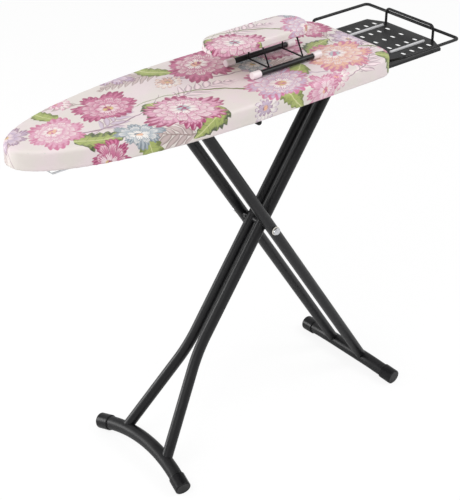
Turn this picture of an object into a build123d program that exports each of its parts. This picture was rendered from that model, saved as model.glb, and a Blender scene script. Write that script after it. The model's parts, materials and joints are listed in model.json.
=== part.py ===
from build123d import *
import os
from math import asin, atan2, cos, radians, sin, sqrt, tan

# Folding ironing board with an iron rest at its tail and a small sleeve board on top.
# Millimetres. +X runs from the nose to the tail, +Y is the far side, +Z is up.
# The origin is on the floor, under the middle of the object's length.

os.makedirs("parts", exist_ok=True)

# ---------------------------------------------------------------- ironing surface
board_length = 887.0
board_width = 295.0
board_top = 877.0
nose_length = 510.0        # length of the half-ellipse that makes the nose
tail_radius = 60.0
cover_wall = 1.5
felt_thick = 6.0
top_round = 6.0            # round of the cover's upper edge
sheet_thick = 1.0
rim_clear = 0.3            # between the cover's inside and the rim
rim_depth = 31.0
rim_wall = 1.2
rim_lip = 8.0
hem_width = 26.0
hem_clear = 0.5            # between the rim's lip and the cover's hem
cord_diameter = 3.0
window_half = 122.0        # half-width of the gap in the tail's rim and skirt
window_rim = 12.0          # rim depth left above that gap

# ---------------------------------------------------------------- iron rest
rest_reach = 187.2         # how far the rest stands out past the tail
rest_rod = 7.0
rest_drop = 12.0           # centre of the rod frame below the board's top
rest_tuck = 100.0          # side rods under the board, from the middle line
rest_corner = 10.0
neck_out = 10.0            # where the side rods turn down and in, past the tail
neck_in = 4.0              # where they level out again, inside the tail
neck_radius = 12.0
tray_drop = 36.0           # the tray's floor below the board's top
tray_half = 117.0
tray_sheet = 1.2
tray_flange = 6.0
tray_end_gap = 4.0         # from the guard loop's centre to the tray's end
tray_under = 22.0          # how far the tray's floor runs in under the tail
chamfer_x = 23.0
chamfer_y = 43.0
ear_length = 105.0         # mounting ears, measured in from the tail
ear_inner = 60.0
hole_pitch_x = 27.0
hole_pitch_y = 43.0
hole_long = 14.0
hole_wide = 8.0
hole_from_end = 29.0
strip_length = 109.0
strip_width = 6.5
strip_height = 3.8
strip_half = 64.5
strip_from_end = 21.0
guard_rod = 6.0
guard_half = 73.5
guard_rise = 35.0          # centre of the guard loop's top above the tray
guard_corner = 10.0
block_length = 40.0
block_from_tail = 57.0     # nearest face of the mounting blocks
block_inner = 66.0
block_width = 50.0
screw_diameter = 5.0
screw_head = 9.0
screw_head_height = 3.0
screw_spread = 24.0
screw_row = 80.0

# ---------------------------------------------------------------- legs
tube_diameter = 25.4
tube_wall = 1.2
inner_spacing = 33.6
outer_spacing = 102.0
hinge_from_tail = 57.8
slide_from_nose = 410.0
axis_drop = 49.5           # hinge pin and slide rod below the deck sheet
foot_bar_diameter = 32.0
foot_height = 16.4         # centre of the foot bars' ends above the floor
inner_foot_from_nose = 271.3
outer_foot_past_tail = 40.7
folded_angle = 3.0         # inner leg's angle to the board when folded
tube_past_hinge = 14.0
tube_past_rod = 10.0
fan_from_pivot = 325.0
fan_radius = 350.0
fan_foot_half = 76.0
foot_half = 159.0          # to the outer ends of the foot caps
joint_setback = 3.0        # tubes stop short of the foot bar's centre line
inner_tilt = 18.5          # how steeply the foot bars' ends run, in the legs' planes
outer_tilt = 6.9
bend_radius = 200.0
cap_wall = 2.8             # of the grip, the pin caps and the rest's blocks
foot_cap_wall = 2.4
cap_grip = 34.0
cap_end = 4.0
cap_round = 2.5
barrel_diameter = 16.0
barrel_proud = 0.7
pin_diameter = 10.0
running_gap = 0.08         # radial, between a pin and what turns on it
rod_diameter = 10.0

# ---------------------------------------------------------------- under-board hardware
hinge_half = 31.0
hinge_wall = 2.0
hinge_ear = 14.0
hinge_length = 44.0
rack_half = 31.0
rack_wall = 1.5
rack_edge = 3.5            # steel left under the slot
rack_under_latch = 9.5     # steel left under the latch's pin
rack_step = 19.0           # from the slide rod at rest to where the rack gets short
rack_tail = 86.0           # from the slide rod at rest to the rack's tail end
slot_height = 17.0
slot_rise = 1.0            # the slot's middle above the rod: the rod rises a little half way
slot_spare = 1.0
glide_diameter = 13.0
glide_flange = 19.0
glide_flange_thick = 4.0
latch_from_rod = 44.0
latch_drop = 32.5          # the latch's pin below the deck sheet
latch_thick = 3.0
latch_clear = 0.5          # between the slide rod and the latch's teeth
latch_reach = 111.0        # toothed bar, from the slide rod towards the nose
latch_bar = 11.0
latch_boss = 9.0
tooth_pitch = 25.0
tooth_depth = 5.0
tooth_count = 4
latch_pin = 6.0
lever_from_latch = 50.0
lever_drop = 12.0          # the lever below the latch's pin
lever_rod = 7.0
lever_reach = 133.0
grip_diameter = 12.0
grip_length = 42.0
spring_from_latch = 30.0
spring_radius = 4.5
spring_wire = 1.2
spring_turns = 6
seat_thick = 2.0
seat_size = 12.0
rivet_diameter = 4.0
rivet_head = 8.0
rivet_head_height = 1.6

# ---------------------------------------------------------------- sleeve board
sleeve_length = 256.0
sleeve_width = 94.0
sleeve_rise = 82.0         # top of the sleeve board above the board's top
sleeve_from_nose = 468.5
sleeve_middle_y = -7.5
sleeve_felt = 6.0
sleeve_board = 8.0
sleeve_hem = 14.0
sleeve_round = 5.0
stand_tube = 12.0
stand_tube_wall = 1.2
stand_spacing = 85.0
stand_from_nose = 553.6    # nose end of the foot tubes
stand_length = 183.9
stand_cap = 16.0
stand_cap_grip = 19.0
stand_cap_end = 3.0
stand_clear = 0.3          # between the caps and the ironing surface
wire = 3.5
wire_lean = 13.0
wire_low_half = 32.5
wire_high_half = 21.0
wire_corner = 5.0
front_wire_from_nose = 606.4
rear_wire_from_nose = 700.0
clip_offset = 12.0
clip_width = 9.0
clip_wall = 1.0
clip_length = 22.0
clip_screw = 3.0

# ---------------------------------------------------------------- worked out from those
total_length = board_length + rest_reach
nose_x = -total_length / 2
tail_x = nose_x + board_length
rest_end_x = tail_x + rest_reach - rest_rod / 2
rest_half = (board_width - rest_rod) / 2
block_x = tail_x - block_from_tail - block_length / 2
shoulder_x = nose_x + nose_length
cover_inner_top = board_top - cover_wall
sheet_top = cover_inner_top - felt_thick
sheet_bottom = sheet_top - sheet_thick
top_axis_height = sheet_bottom - axis_drop
latch_height = sheet_bottom - latch_drop
lever_height = latch_height - lever_drop
rest_height = board_top - rest_drop
tray_top = board_top - tray_drop
guard_top = tray_top + guard_rise
sleeve_top = board_top + sleeve_rise
rim_bottom = sheet_bottom - rim_depth
cover_bottom = rim_bottom - hem_clear - cover_wall
rim_inset = cover_wall + rim_clear
tube_radius = tube_diameter / 2
tube_bore = tube_radius - tube_wall
foot_bar_radius = foot_bar_diameter / 2
foot_bar_bore = foot_bar_radius - tube_wall
pin_bore = pin_diameter / 2 + running_gap

hinge_x = tail_x - hinge_from_tail
slide_x = nose_x + slide_from_nose
inner_foot_x = nose_x + inner_foot_from_nose
outer_foot_x = tail_x + outer_foot_past_tail
leg_drop = top_axis_height - foot_height
inner_angle = atan2(leg_drop, hinge_x - inner_foot_x)
outer_angle = atan2(leg_drop, outer_foot_x - slide_x)
pivot_drop = (hinge_x - slide_x) / (1 / tan(inner_angle) + 1 / tan(outer_angle))
pivot_x = hinge_x - pivot_drop / tan(inner_angle)
pivot_z = top_axis_height - pivot_drop
inner_upper = pivot_drop / sin(inner_angle)
outer_upper = pivot_drop / sin(outer_angle)
inner_length = leg_drop / sin(inner_angle)
outer_length = leg_drop / sin(outer_angle)
folded_slope = radians(folded_angle)
folded_slide_x = (
    hinge_x
    - inner_upper * cos(folded_slope)
    - outer_upper * cos(asin(inner_upper * sin(folded_slope) / outer_upper))
)

# Each leg is drawn in its own plane: x runs down the leg from its top axis, y is +Y.
inner_plane = Plane(
    origin=(hinge_x, 0, top_axis_height),
    x_dir=(-cos(inner_angle), 0, -sin(inner_angle)),
    z_dir=(sin(inner_angle), 0, -cos(inner_angle)),
)
outer_plane = Plane(
    origin=(slide_x, 0, top_axis_height),
    x_dir=(cos(outer_angle), 0, -sin(outer_angle)),
    z_dir=(sin(outer_angle), 0, cos(outer_angle)),
)
sides = ((-1, "near"), (1, "far"))


def board_outline(inset):
    """Half-ellipse nose, straight sides and round tail corners."""
    half = board_width / 2 - inset
    end_x = tail_x - inset
    corner = tail_radius - inset
    with BuildSketch(Plane.XY) as outline:
        with BuildLine():
            EllipticalCenterArc((shoulder_x, 0), nose_length - inset, half, 90, arc_size=180)
            Line((shoulder_x, -half), (end_x - corner, -half))
            CenterArc((end_x - corner, corner - half), corner, -90, 90)
            Line((end_x, corner - half), (end_x, half - corner))
            CenterArc((end_x - corner, half - corner), corner, 0, 90)
            Line((end_x - corner, half), (shoulder_x, half))
        make_face()
    return outline.sketch


def sleeve_outline(inset):
    """The sleeve board's shape, round at both ends."""
    with BuildSketch(Plane.XY) as outline:
        with Locations((nose_x + sleeve_from_nose + sleeve_length / 2, sleeve_middle_y)):
            SlotOverall(sleeve_length - 2 * inset, sleeve_width - 2 * inset)
    return outline.sketch


def half_width(x):
    """Half of the board's width at a place along its length."""
    if x > shoulder_x:
        return board_width / 2
    return board_width / 2 * sqrt(max(0, 1 - ((shoulder_x - x) / nose_length) ** 2))


# ================================================================ board
# Deck sheet, punched with a staggered field of round holes.
punch_radius = 10.0
punch_pitch = 36.0
punch_margin = 20.0
punch_middle = 47.0        # the strip down the middle stays whole for the hardware
punch_columns = int(board_length / punch_pitch)
with BuildPart() as deck_sheet:
    with BuildSketch(Plane.XY.offset(sheet_bottom)):
        add(board_outline(rim_inset))
        for column in range(punch_columns):
            x = tail_x - tail_radius - column * punch_pitch
            shift = punch_pitch / 2 if column % 2 else 0
            row_y = punch_middle + punch_radius + shift
            while row_y < half_width(x - punch_radius) - punch_margin - punch_radius:
                if x < tail_x - block_from_tail - block_length - 2 * punch_radius:
                    with Locations((x, row_y), (x, -row_y)):
                        Circle(punch_radius, mode=Mode.SUBTRACT)
                row_y += punch_pitch
    extrude(amount=sheet_thick)
    with BuildSketch(Plane.XY.offset(sheet_bottom)):
        for side, name in sides:
            for dx in (-screw_spread / 2, screw_spread / 2):
                with Locations((block_x + dx, side * screw_row)):
                    Circle(screw_diameter / 2)
        for dx in (-hinge_length / 4, hinge_length / 4):
            for dy in (-hinge_half / 2, hinge_half / 2):
                with Locations((hinge_x + dx, dy)):
                    Circle(rivet_diameter / 2)
        for dx in (-latch_reach, -latch_from_rod, rack_tail - spring_from_latch / 2):
            for dy in (-rack_half / 2, rack_half / 2):
                with Locations((slide_x + dx, dy)):
                    Circle(rivet_diameter / 2)
    extrude(amount=sheet_thick, mode=Mode.SUBTRACT)
deck_sheet.part.label = "deck_sheet"
export_step(deck_sheet.part, "parts/deck_sheet.step")

# Rim: a standing band with a lip turned in at its foot, cut away in the tail for the rest.
with BuildPart() as rim:
    with BuildSketch(Plane.XY.offset(rim_bottom)):
        add(board_outline(rim_inset))
        add(board_outline(rim_inset + rim_wall), mode=Mode.SUBTRACT)
    extrude(amount=rim_depth)
    with BuildSketch(Plane.XY.offset(rim_bottom)):
        add(board_outline(rim_inset))
        add(board_outline(rim_inset + rim_lip), mode=Mode.SUBTRACT)
    extrude(amount=rim_wall)
    with BuildSketch(Plane.XY.offset(rim_bottom)):
        with Locations((tail_x, 0)):
            Rectangle(2 * tail_radius, 2 * window_half)
    extrude(amount=rim_depth - window_rim, mode=Mode.SUBTRACT)
rim.part.label = "rim"
export_step(rim.part, "parts/rim.step")

# Felt pad on the sheet, and the cotton cover over it all.
with BuildPart() as felt_pad:
    with BuildSketch(Plane.XY.offset(sheet_top)):
        add(board_outline(cover_wall))
    extrude(amount=felt_thick)
    fillet(felt_pad.faces().sort_by(Axis.Z)[-1].edges(), top_round - cover_wall)
felt_pad.part.label = "felt_pad"
export_step(felt_pad.part, "parts/felt_pad.step")

with BuildPart() as cover_inside:
    with BuildSketch(Plane.XY.offset(cover_bottom + cover_wall)):
        add(board_outline(cover_wall))
    extrude(amount=cover_inner_top - cover_bottom - cover_wall)
    fillet(cover_inside.faces().sort_by(Axis.Z)[-1].edges(), top_round - cover_wall)

with BuildPart() as cover:
    with BuildSketch(Plane.XY.offset(cover_bottom)):
        add(board_outline(0))
    extrude(amount=board_top - cover_bottom)
    fillet(cover.faces().sort_by(Axis.Z)[-1].edges(), top_round)
    add(cover_inside.part, mode=Mode.SUBTRACT)
    with BuildSketch(Plane.XY.offset(cover_bottom)):
        add(board_outline(hem_width))
    extrude(amount=cover_wall, mode=Mode.SUBTRACT)
    with BuildSketch(Plane.XY.offset(cover_bottom)):
        with Locations((tail_x, 0)):
            Rectangle(2 * tail_radius, 2 * window_half)
    extrude(amount=sheet_bottom - window_rim - cover_wall - cover_bottom, mode=Mode.SUBTRACT)
cover.part.label = "cover"
export_step(cover.part, "parts/cover.step")

# Drawcord, lying on the hem's inner edge round the nose and along both sides.
cord_inset = hem_width - cord_diameter / 2
cord_half = board_width / 2 - cord_inset
with BuildPart() as drawcord:
    with BuildLine(Plane.XY.offset(cover_bottom + cover_wall + cord_diameter / 2)) as cord_path:
        Line((tail_x - tail_radius, cord_half), (shoulder_x, cord_half))
        EllipticalCenterArc((shoulder_x, 0), nose_length - cord_inset, cord_half, 90, arc_size=180)
        Line((shoulder_x, -cord_half), (tail_x - tail_radius, -cord_half))
    with BuildSketch(Plane(cord_path.wire() @ 0, z_dir=cord_path.wire() % 0)):
        Circle(cord_diameter / 2)
    sweep(path=cord_path.wire())
drawcord.part.label = "drawcord"
export_step(drawcord.part, "parts/drawcord.step")

# ================================================================ slide rack and latch
slot_start = folded_slide_x - glide_diameter / 2 - slot_spare
slot_end = slide_x + glide_diameter / 2 + slot_spare
slot_middle_z = top_axis_height + slot_rise
rack_low_z = slot_middle_z - slot_height / 2 - rack_edge
rack_nose_x = slot_start - 2 * rack_edge
rack_tail_x = slide_x + rack_tail
rack_step_x = slide_x + rack_step
latch_x = slide_x + latch_from_rod
with BuildPart() as rack:
    with BuildSketch(Plane.XZ):
        with BuildLine():
            Polyline(
                (rack_nose_x, sheet_bottom),
                (rack_nose_x, slot_middle_z),
                (rack_nose_x + slot_height - rack_edge, rack_low_z),
                (rack_step_x, rack_low_z),
                (rack_step_x, latch_height - rack_under_latch),
                (rack_tail_x, latch_height - rack_under_latch),
                (rack_tail_x, sheet_bottom),
                close=True,
            )
        make_face()
        with Locations(((slot_start + slot_end) / 2, slot_middle_z)):
            SlotOverall(slot_end - slot_start, slot_height, mode=Mode.SUBTRACT)
        with Locations((latch_x, latch_height)):
            Circle(latch_pin / 2, mode=Mode.SUBTRACT)
    extrude(amount=rack_half + rack_wall, both=True)
    with BuildSketch(Plane.XZ):
        with Locations(((rack_nose_x + rack_tail_x) / 2, sheet_bottom - rack_wall)):
            Rectangle(rack_tail_x - rack_nose_x, sheet_bottom, align=(Align.CENTER, Align.MAX))
    extrude(amount=rack_half, both=True, mode=Mode.SUBTRACT)
    with BuildSketch(Plane.XY.offset(sheet_bottom - rack_wall)):
        for dx in (-latch_reach, -latch_from_rod, rack_tail - spring_from_latch / 2):
            for dy in (-rack_half / 2, rack_half / 2):
                with Locations((slide_x + dx, dy)):
                    Circle(rivet_diameter / 2)
    extrude(amount=rack_wall, mode=Mode.SUBTRACT)
rack.part.label = "rack"
export_step(rack.part, "parts/rack.step")

with BuildPart() as rack_rivets:
    for dx in (-latch_reach, -latch_from_rod, rack_tail - spring_from_latch / 2):
        for dy in (-rack_half / 2, rack_half / 2):
            with Locations((slide_x + dx, dy, sheet_top)):
                Cylinder(
                    rivet_diameter / 2,
                    sheet_thick + rack_wall,
                    align=(Align.CENTER, Align.CENTER, Align.MAX),
                )
            with Locations((slide_x + dx, dy, sheet_bottom - rack_wall)):
                Cylinder(
                    rivet_head / 2,
                    rivet_head_height,
                    align=(Align.CENTER, Align.CENTER, Align.MAX),
                )
rack_rivets.part.label = "rack_rivets"
export_step(rack_rivets.part, "parts/rack_rivets.step")

# The latch is one steel blade in the gap between the inner leg's tubes: a toothed bar
# under the slide rod, an arm up to its pin, and a tail that carries the lever.
tooth_top = top_axis_height - rod_diameter / 2 - latch_clear
bar_bottom = tooth_top - latch_bar
lever_x = latch_x + lever_from_latch
tail_bar = 5.0             # half-height of the blade's tail
with BuildPart() as latch_blade:
    with BuildSketch(Plane.XZ):
        with BuildLine():
            Polyline(
                (slide_x - latch_reach, bar_bottom),
                (slide_x + rod_diameter, bar_bottom),
                (latch_x + latch_boss, latch_height - latch_boss - tail_bar),
                (lever_x + lever_rod, lever_height - lever_rod),
                (lever_x + lever_rod, lever_height + lever_rod),
                (latch_x + spring_from_latch + seat_size, latch_height + tail_bar),
                (latch_x - latch_boss, latch_height + tail_bar),
                (slide_x + rod_diameter, tooth_top),
                (slide_x - latch_reach, tooth_top),
                close=True,
            )
        make_face()
        with Locations((latch_x, latch_height)):
            Circle(latch_boss)
            Circle(latch_pin / 2 + running_gap, mode=Mode.SUBTRACT)
        with Locations((lever_x, lever_height)):
            Circle(lever_rod / 2, mode=Mode.SUBTRACT)
        for tooth in range(tooth_count):
            with Locations((slide_x - tooth * tooth_pitch, tooth_top)):
                Rectangle(rod_diameter, 2 * tooth_depth, mode=Mode.SUBTRACT)
    extrude(amount=latch_thick / 2, both=True)
    with Locations((latch_x + spring_from_latch, 0, latch_height + tail_bar)):
        Box(seat_size, seat_size, seat_thick, align=(Align.CENTER, Align.CENTER, Align.MIN))
latch_blade.part.label = "latch_blade"
export_step(latch_blade.part, "parts/latch_blade.step")

pin_overhang = 1.5
with BuildPart() as latch_pin_part:
    with BuildSketch(Plane.XZ):
        with Locations((latch_x, latch_height)):
            Circle(latch_pin / 2)
    extrude(amount=rack_half + rack_wall + pin_overhang, both=True)
latch_pin_part.part.label = "latch_pin"
export_step(latch_pin_part.part, "parts/latch_pin.step")

with BuildPart() as lever_arm:
    with BuildSketch(Plane.XZ.offset(-2 * latch_thick)):
        with Locations((lever_x, lever_height)):
            Circle(lever_rod / 2)
    extrude(amount=2 * latch_thick + lever_reach - 2 * cap_wall)
lever_arm.part.label = "lever_arm"
export_step(lever_arm.part, "parts/lever_arm.step")

with BuildPart() as lever_grip:
    with BuildSketch(Plane.XZ.offset(lever_reach - grip_length)):
        with Locations((lever_x, lever_height)):
            Circle(grip_diameter / 2)
    extrude(amount=grip_length)
    fillet(lever_grip.edges().filter_by(GeomType.CIRCLE).sort_by(Axis.Y)[0], grip_diameter / 3)
    with BuildSketch(Plane.XZ.offset(lever_reach - grip_length)):
        with Locations((lever_x, lever_height)):
            Circle(lever_rod / 2)
    extrude(amount=grip_length - 2 * cap_wall, mode=Mode.SUBTRACT)
lever_grip.part.label = "lever_grip"
export_step(lever_grip.part, "parts/lever_grip.step")

spring_low = latch_height + tail_bar + seat_thick + spring_wire / 2
spring_high = sheet_bottom - rack_wall - spring_wire / 2
with BuildPart() as latch_spring:
    with BuildLine() as spring_path:
        Helix(
            (spring_high - spring_low) / spring_turns,
            spring_high - spring_low,
            spring_radius - spring_wire / 2,
            center=(latch_x + spring_from_latch, 0, spring_low),
        )
    with BuildSketch(Plane(spring_path.wire() @ 0, z_dir=spring_path.wire() % 0)):
        Circle(spring_wire / 2)
    sweep(path=spring_path.wire(), is_frenet=True)
latch_spring.part.label = "latch_spring"
export_step(latch_spring.part, "parts/latch_spring.step")

# ================================================================ hinge bracket and its pin
with BuildPart() as hinge_bracket:
    with BuildSketch(Plane.XZ):
        with BuildLine():
            Polyline(
                (hinge_x - hinge_length / 2, sheet_bottom),
                (hinge_x - hinge_ear, top_axis_height),
                (hinge_x + hinge_ear, top_axis_height),
                (hinge_x + hinge_length / 2, sheet_bottom),
                close=True,
            )
        make_face()
        with Locations((hinge_x, top_axis_height)):
            Circle(hinge_ear)
            Circle(pin_diameter / 2, mode=Mode.SUBTRACT)
    extrude(amount=hinge_half + hinge_wall, both=True)
    with BuildSketch(Plane.XZ):
        with Locations((hinge_x, sheet_bottom - hinge_wall)):
            Rectangle(hinge_length, sheet_bottom, align=(Align.CENTER, Align.MAX))
    extrude(amount=hinge_half, both=True, mode=Mode.SUBTRACT)
    with BuildSketch(Plane.XY.offset(sheet_bottom - hinge_wall)):
        for dx in (-hinge_length / 4, hinge_length / 4):
            for dy in (-hinge_half / 2, hinge_half / 2):
                with Locations((hinge_x + dx, dy)):
                    Circle(rivet_diameter / 2)
    extrude(amount=hinge_wall, mode=Mode.SUBTRACT)
hinge_bracket.part.label = "hinge_bracket"
export_step(hinge_bracket.part, "parts/hinge_bracket.step")

with BuildPart() as hinge_rivets:
    for dx in (-hinge_length / 4, hinge_length / 4):
        for dy in (-hinge_half / 2, hinge_half / 2):
            with Locations((hinge_x + dx, dy, sheet_top)):
                Cylinder(
                    rivet_diameter / 2,
                    sheet_thick + hinge_wall,
                    align=(Align.CENTER, Align.CENTER, Align.MAX),
                )
            with Locations((hinge_x + dx, dy, sheet_bottom - hinge_wall)):
                Cylinder(
                    rivet_head / 2,
                    rivet_head_height,
                    align=(Align.CENTER, Align.CENTER, Align.MAX),
                )
hinge_rivets.part.label = "hinge_rivets"
export_step(hinge_rivets.part, "parts/hinge_rivets.step")

pin_head = 15.0
pin_head_thick = 2.5
with BuildPart() as hinge_pin:
    with BuildSketch(Plane.XZ):
        with Locations((hinge_x, top_axis_height)):
            Circle(pin_diameter / 2)
    extrude(amount=hinge_half + hinge_wall + pin_head_thick, both=True)
    for side, name in sides:
        with BuildSketch(Plane.XZ.offset(side * (hinge_half + hinge_wall))):
            with Locations((hinge_x, top_axis_height)):
                Circle(pin_head / 2)
        extrude(amount=side * pin_head_thick)
hinge_pin.part.label = "hinge_pin"
export_step(hinge_pin.part, "parts/hinge_pin.step")

barrel_half = inner_spacing / 2 + tube_radius + barrel_proud
washer_gap = 0.1
with BuildPart() as hinge_washers:
    for side, name in sides:
        with BuildSketch(Plane.XZ.offset(side * (barrel_half + washer_gap))):
            with Locations((hinge_x, top_axis_height)):
                Circle(pin_head / 2 + cap_wall)
                Circle(pin_diameter / 2, mode=Mode.SUBTRACT)
        extrude(amount=side * (hinge_half - barrel_half - washer_gap))
hinge_washers.part.label = "hinge_washers"
export_step(hinge_washers.part, "parts/hinge_washers.step")

# ================================================================ inner leg
grip_run = cap_grip - foot_cap_wall
capped_run = grip_run + cap_end
arch_tilt = radians(inner_tilt)
arch_half = foot_half - capped_run * cos(arch_tilt)
arch_rise = arch_half * tan(arch_tilt / 2)
arch_end = inner_length - capped_run * sin(arch_tilt)
bend_tilt = radians(outer_tilt)
bend_y = outer_spacing / 2 + tube_diameter
bend_x = outer_length - (foot_half - bend_y) * tan(bend_tilt)


def arched_bar():
    """The inner leg's foot bar: an arch in the leg's plane, straight where the caps grip."""
    arch = ThreePointArc((arch_end, -arch_half), (arch_end - arch_rise, 0), (arch_end, arch_half))
    Line(arch @ 1, (arch @ 1) + (arch % 1) * grip_run)
    Line(arch @ 0, (arch @ 0) - (arch % 0) * grip_run)


def bent_bar():
    """The outer leg's foot bar: a straight middle and a slight bend on either side."""
    end_x = outer_length - cap_end * sin(bend_tilt)
    end_y = foot_half - cap_end * cos(bend_tilt)
    FilletPolyline(
        (end_x, -end_y),
        (bend_x, -bend_y),
        (bend_x, bend_y),
        (end_x, end_y),
        radius=bend_radius,
    )


foot_solids = {}
for leg, plane, foot_path in (("inner", inner_plane, arched_bar), ("outer", outer_plane, bent_bar)):
    with BuildPart() as foot_core:
        with BuildLine(plane) as foot_line:
            foot_path()
        foot_wire = foot_line.wire()
        with BuildSketch(Plane(foot_wire @ 0, z_dir=foot_wire % 0)):
            Circle(foot_bar_radius)
        sweep(path=foot_wire)
    foot_solids[leg] = foot_core.part
    with BuildPart() as foot_bar:
        add(foot_core.part)
        with BuildSketch(Plane(foot_wire @ 0, z_dir=foot_wire % 0)):
            Circle(foot_bar_bore)
        sweep(path=foot_wire, mode=Mode.SUBTRACT)
    foot_bar.part.label = f"{leg}_foot_bar"
    export_step(foot_bar.part, f"parts/{leg}_foot_bar.step")

    ends = ((foot_wire @ 0, foot_wire % 0), (foot_wire @ 1, (foot_wire % 1) * -1))
    for end, inward in ends:
        name = "near" if end.Y < 0 else "far"
        outward = inward * -1
        with BuildPart() as foot_cap:
            with BuildSketch(Plane(end + inward * grip_run, z_dir=outward)):
                Circle(foot_bar_radius + foot_cap_wall)
            extrude(amount=grip_run + cap_end)
            fillet(foot_cap.edges().filter_by(GeomType.CIRCLE), cap_round)
            with BuildSketch(Plane(end + inward * grip_run, z_dir=outward)):
                Circle(foot_bar_radius)
            extrude(amount=grip_run, mode=Mode.SUBTRACT)
            with Locations((end.X, end.Y, 0)):
                Box(
                    4 * cap_grip,
                    4 * cap_grip,
                    cap_grip,
                    align=(Align.CENTER, Align.CENTER, Align.MAX),
                    mode=Mode.SUBTRACT,
                )
        foot_cap.part.label = f"{leg}_foot_cap_{name}"
        export_step(foot_cap.part, f"parts/{leg}_foot_cap_{name}.step")

# The inner leg's tubes run side by side and then fan out to the foot bar.
fan_start = inner_upper + fan_from_pivot
fan_end = arch_end - arch_rise + arch_rise * (fan_foot_half / arch_half) ** 2 - joint_setback
for side, name in sides:
    with BuildPart() as inner_tube:
        with BuildLine(inner_plane) as tube_line:
            FilletPolyline(
                (-tube_past_hinge, side * inner_spacing / 2),
                (fan_start, side * inner_spacing / 2),
                (fan_end, side * fan_foot_half),
                radius=fan_radius,
            )
        tube_wire = tube_line.wire()
        with BuildSketch(Plane(tube_wire @ 0, z_dir=tube_wire % 0)):
            Circle(tube_radius)
            Circle(tube_bore, mode=Mode.SUBTRACT)
        sweep(path=tube_wire)
        add(foot_solids["inner"], mode=Mode.SUBTRACT)
        for x, z in ((hinge_x, top_axis_height), (pivot_x, pivot_z)):
            with BuildSketch(Plane.XZ):
                with Locations((x, z)):
                    Circle(barrel_diameter / 2)
            extrude(amount=barrel_half, both=True, mode=Mode.SUBTRACT)
    inner_tube.part.label = f"inner_tube_{name}"
    export_step(inner_tube.part, f"parts/inner_tube_{name}.step")

barrels = (("hinge_barrel", hinge_x, top_axis_height), ("pivot_barrel", pivot_x, pivot_z))
for label, x, z in barrels:
    with BuildPart() as barrel:
        with BuildSketch(Plane.XZ):
            with Locations((x, z)):
                Circle(barrel_diameter / 2)
                Circle(pin_bore if label == "hinge_barrel" else pin_diameter / 2, mode=Mode.SUBTRACT)
        extrude(amount=barrel_half, both=True)
    barrel.part.label = label
    export_step(barrel.part, f"parts/{label}.step")

# Plugs close the open tube tops of both legs.
plug_depth = 4.0
plug_lip = 2.0
plug_sets = (
    ("inner_tube_plugs", inner_plane, tube_past_hinge, inner_spacing / 2),
    ("outer_tube_plugs", outer_plane, tube_past_rod, outer_spacing / 2),
)
for label, plane, past, half in plug_sets:
    with BuildPart() as plugs:
        for side in (-1, 1):
            top = plane.from_local_coords((-past, side * half, 0))
            with BuildSketch(Plane(top, z_dir=plane.x_dir)):
                Circle(tube_bore)
            extrude(amount=plug_depth)
            with BuildSketch(Plane(top, z_dir=plane.x_dir)):
                Circle(tube_radius)
            extrude(amount=-plug_lip)
    plugs.part.label = label
    export_step(plugs.part, f"parts/{label}.step")

# Pivot bolt, nut, washers and the bushes that keep the legs apart.
outer_face = outer_spacing / 2 + tube_radius
inner_face = outer_spacing / 2 - tube_radius
washer_diameter = 20.0
washer_thick = 1.5
face_gap = 0.3
bolt_head = 17.0
bolt_head_height = 6.0
nut_across = 17.0
nut_height = 8.0
bolt_end = 3.0
head_y = outer_face + face_gap + washer_thick
with BuildPart() as pivot_bolt:
    with BuildSketch(Plane.XZ.offset(head_y)):
        with Locations((pivot_x, pivot_z)):
            Circle(bolt_head / 2)
    extrude(amount=bolt_head_height)
    fillet(pivot_bolt.edges().filter_by(GeomType.CIRCLE).sort_by(Axis.Y)[0], bolt_head_height / 2)
    with BuildSketch(Plane.XZ.offset(head_y)):
        with Locations((pivot_x, pivot_z)):
            Circle(pin_diameter / 2)
    extrude(amount=-(2 * head_y + nut_height + bolt_end))
pivot_bolt.part.label = "pivot_bolt"
export_step(pivot_bolt.part, "parts/pivot_bolt.step")

with BuildPart() as pivot_nut:
    with BuildSketch(Plane.XZ.offset(-head_y)):
        with Locations((pivot_x, pivot_z)):
            RegularPolygon(nut_across / 2, 6, major_radius=False)
            Circle(pin_diameter / 2, mode=Mode.SUBTRACT)
    extrude(amount=-nut_height)
pivot_nut.part.label = "pivot_nut"
export_step(pivot_nut.part, "parts/pivot_nut.step")

with BuildPart() as pivot_washers:
    for side, name in sides:
        with BuildSketch(Plane.XZ.offset(side * (outer_face + face_gap))):
            with Locations((pivot_x, pivot_z)):
                Circle(washer_diameter / 2)
                Circle(pin_diameter / 2, mode=Mode.SUBTRACT)
        extrude(amount=side * washer_thick)
pivot_washers.part.label = "pivot_washers"
export_step(pivot_washers.part, "parts/pivot_washers.step")

bush_diameter = 18.0
with BuildPart() as pivot_bushes:
    for side, name in sides:
        with BuildSketch(Plane.XZ.offset(side * barrel_half)):
            with Locations((pivot_x, pivot_z)):
                Circle(bush_diameter / 2)
                Circle(pin_diameter / 2, mode=Mode.SUBTRACT)
        extrude(amount=side * (inner_face - face_gap - barrel_half))
pivot_bushes.part.label = "pivot_bushes"
export_step(pivot_bushes.part, "parts/pivot_bushes.step")

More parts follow.
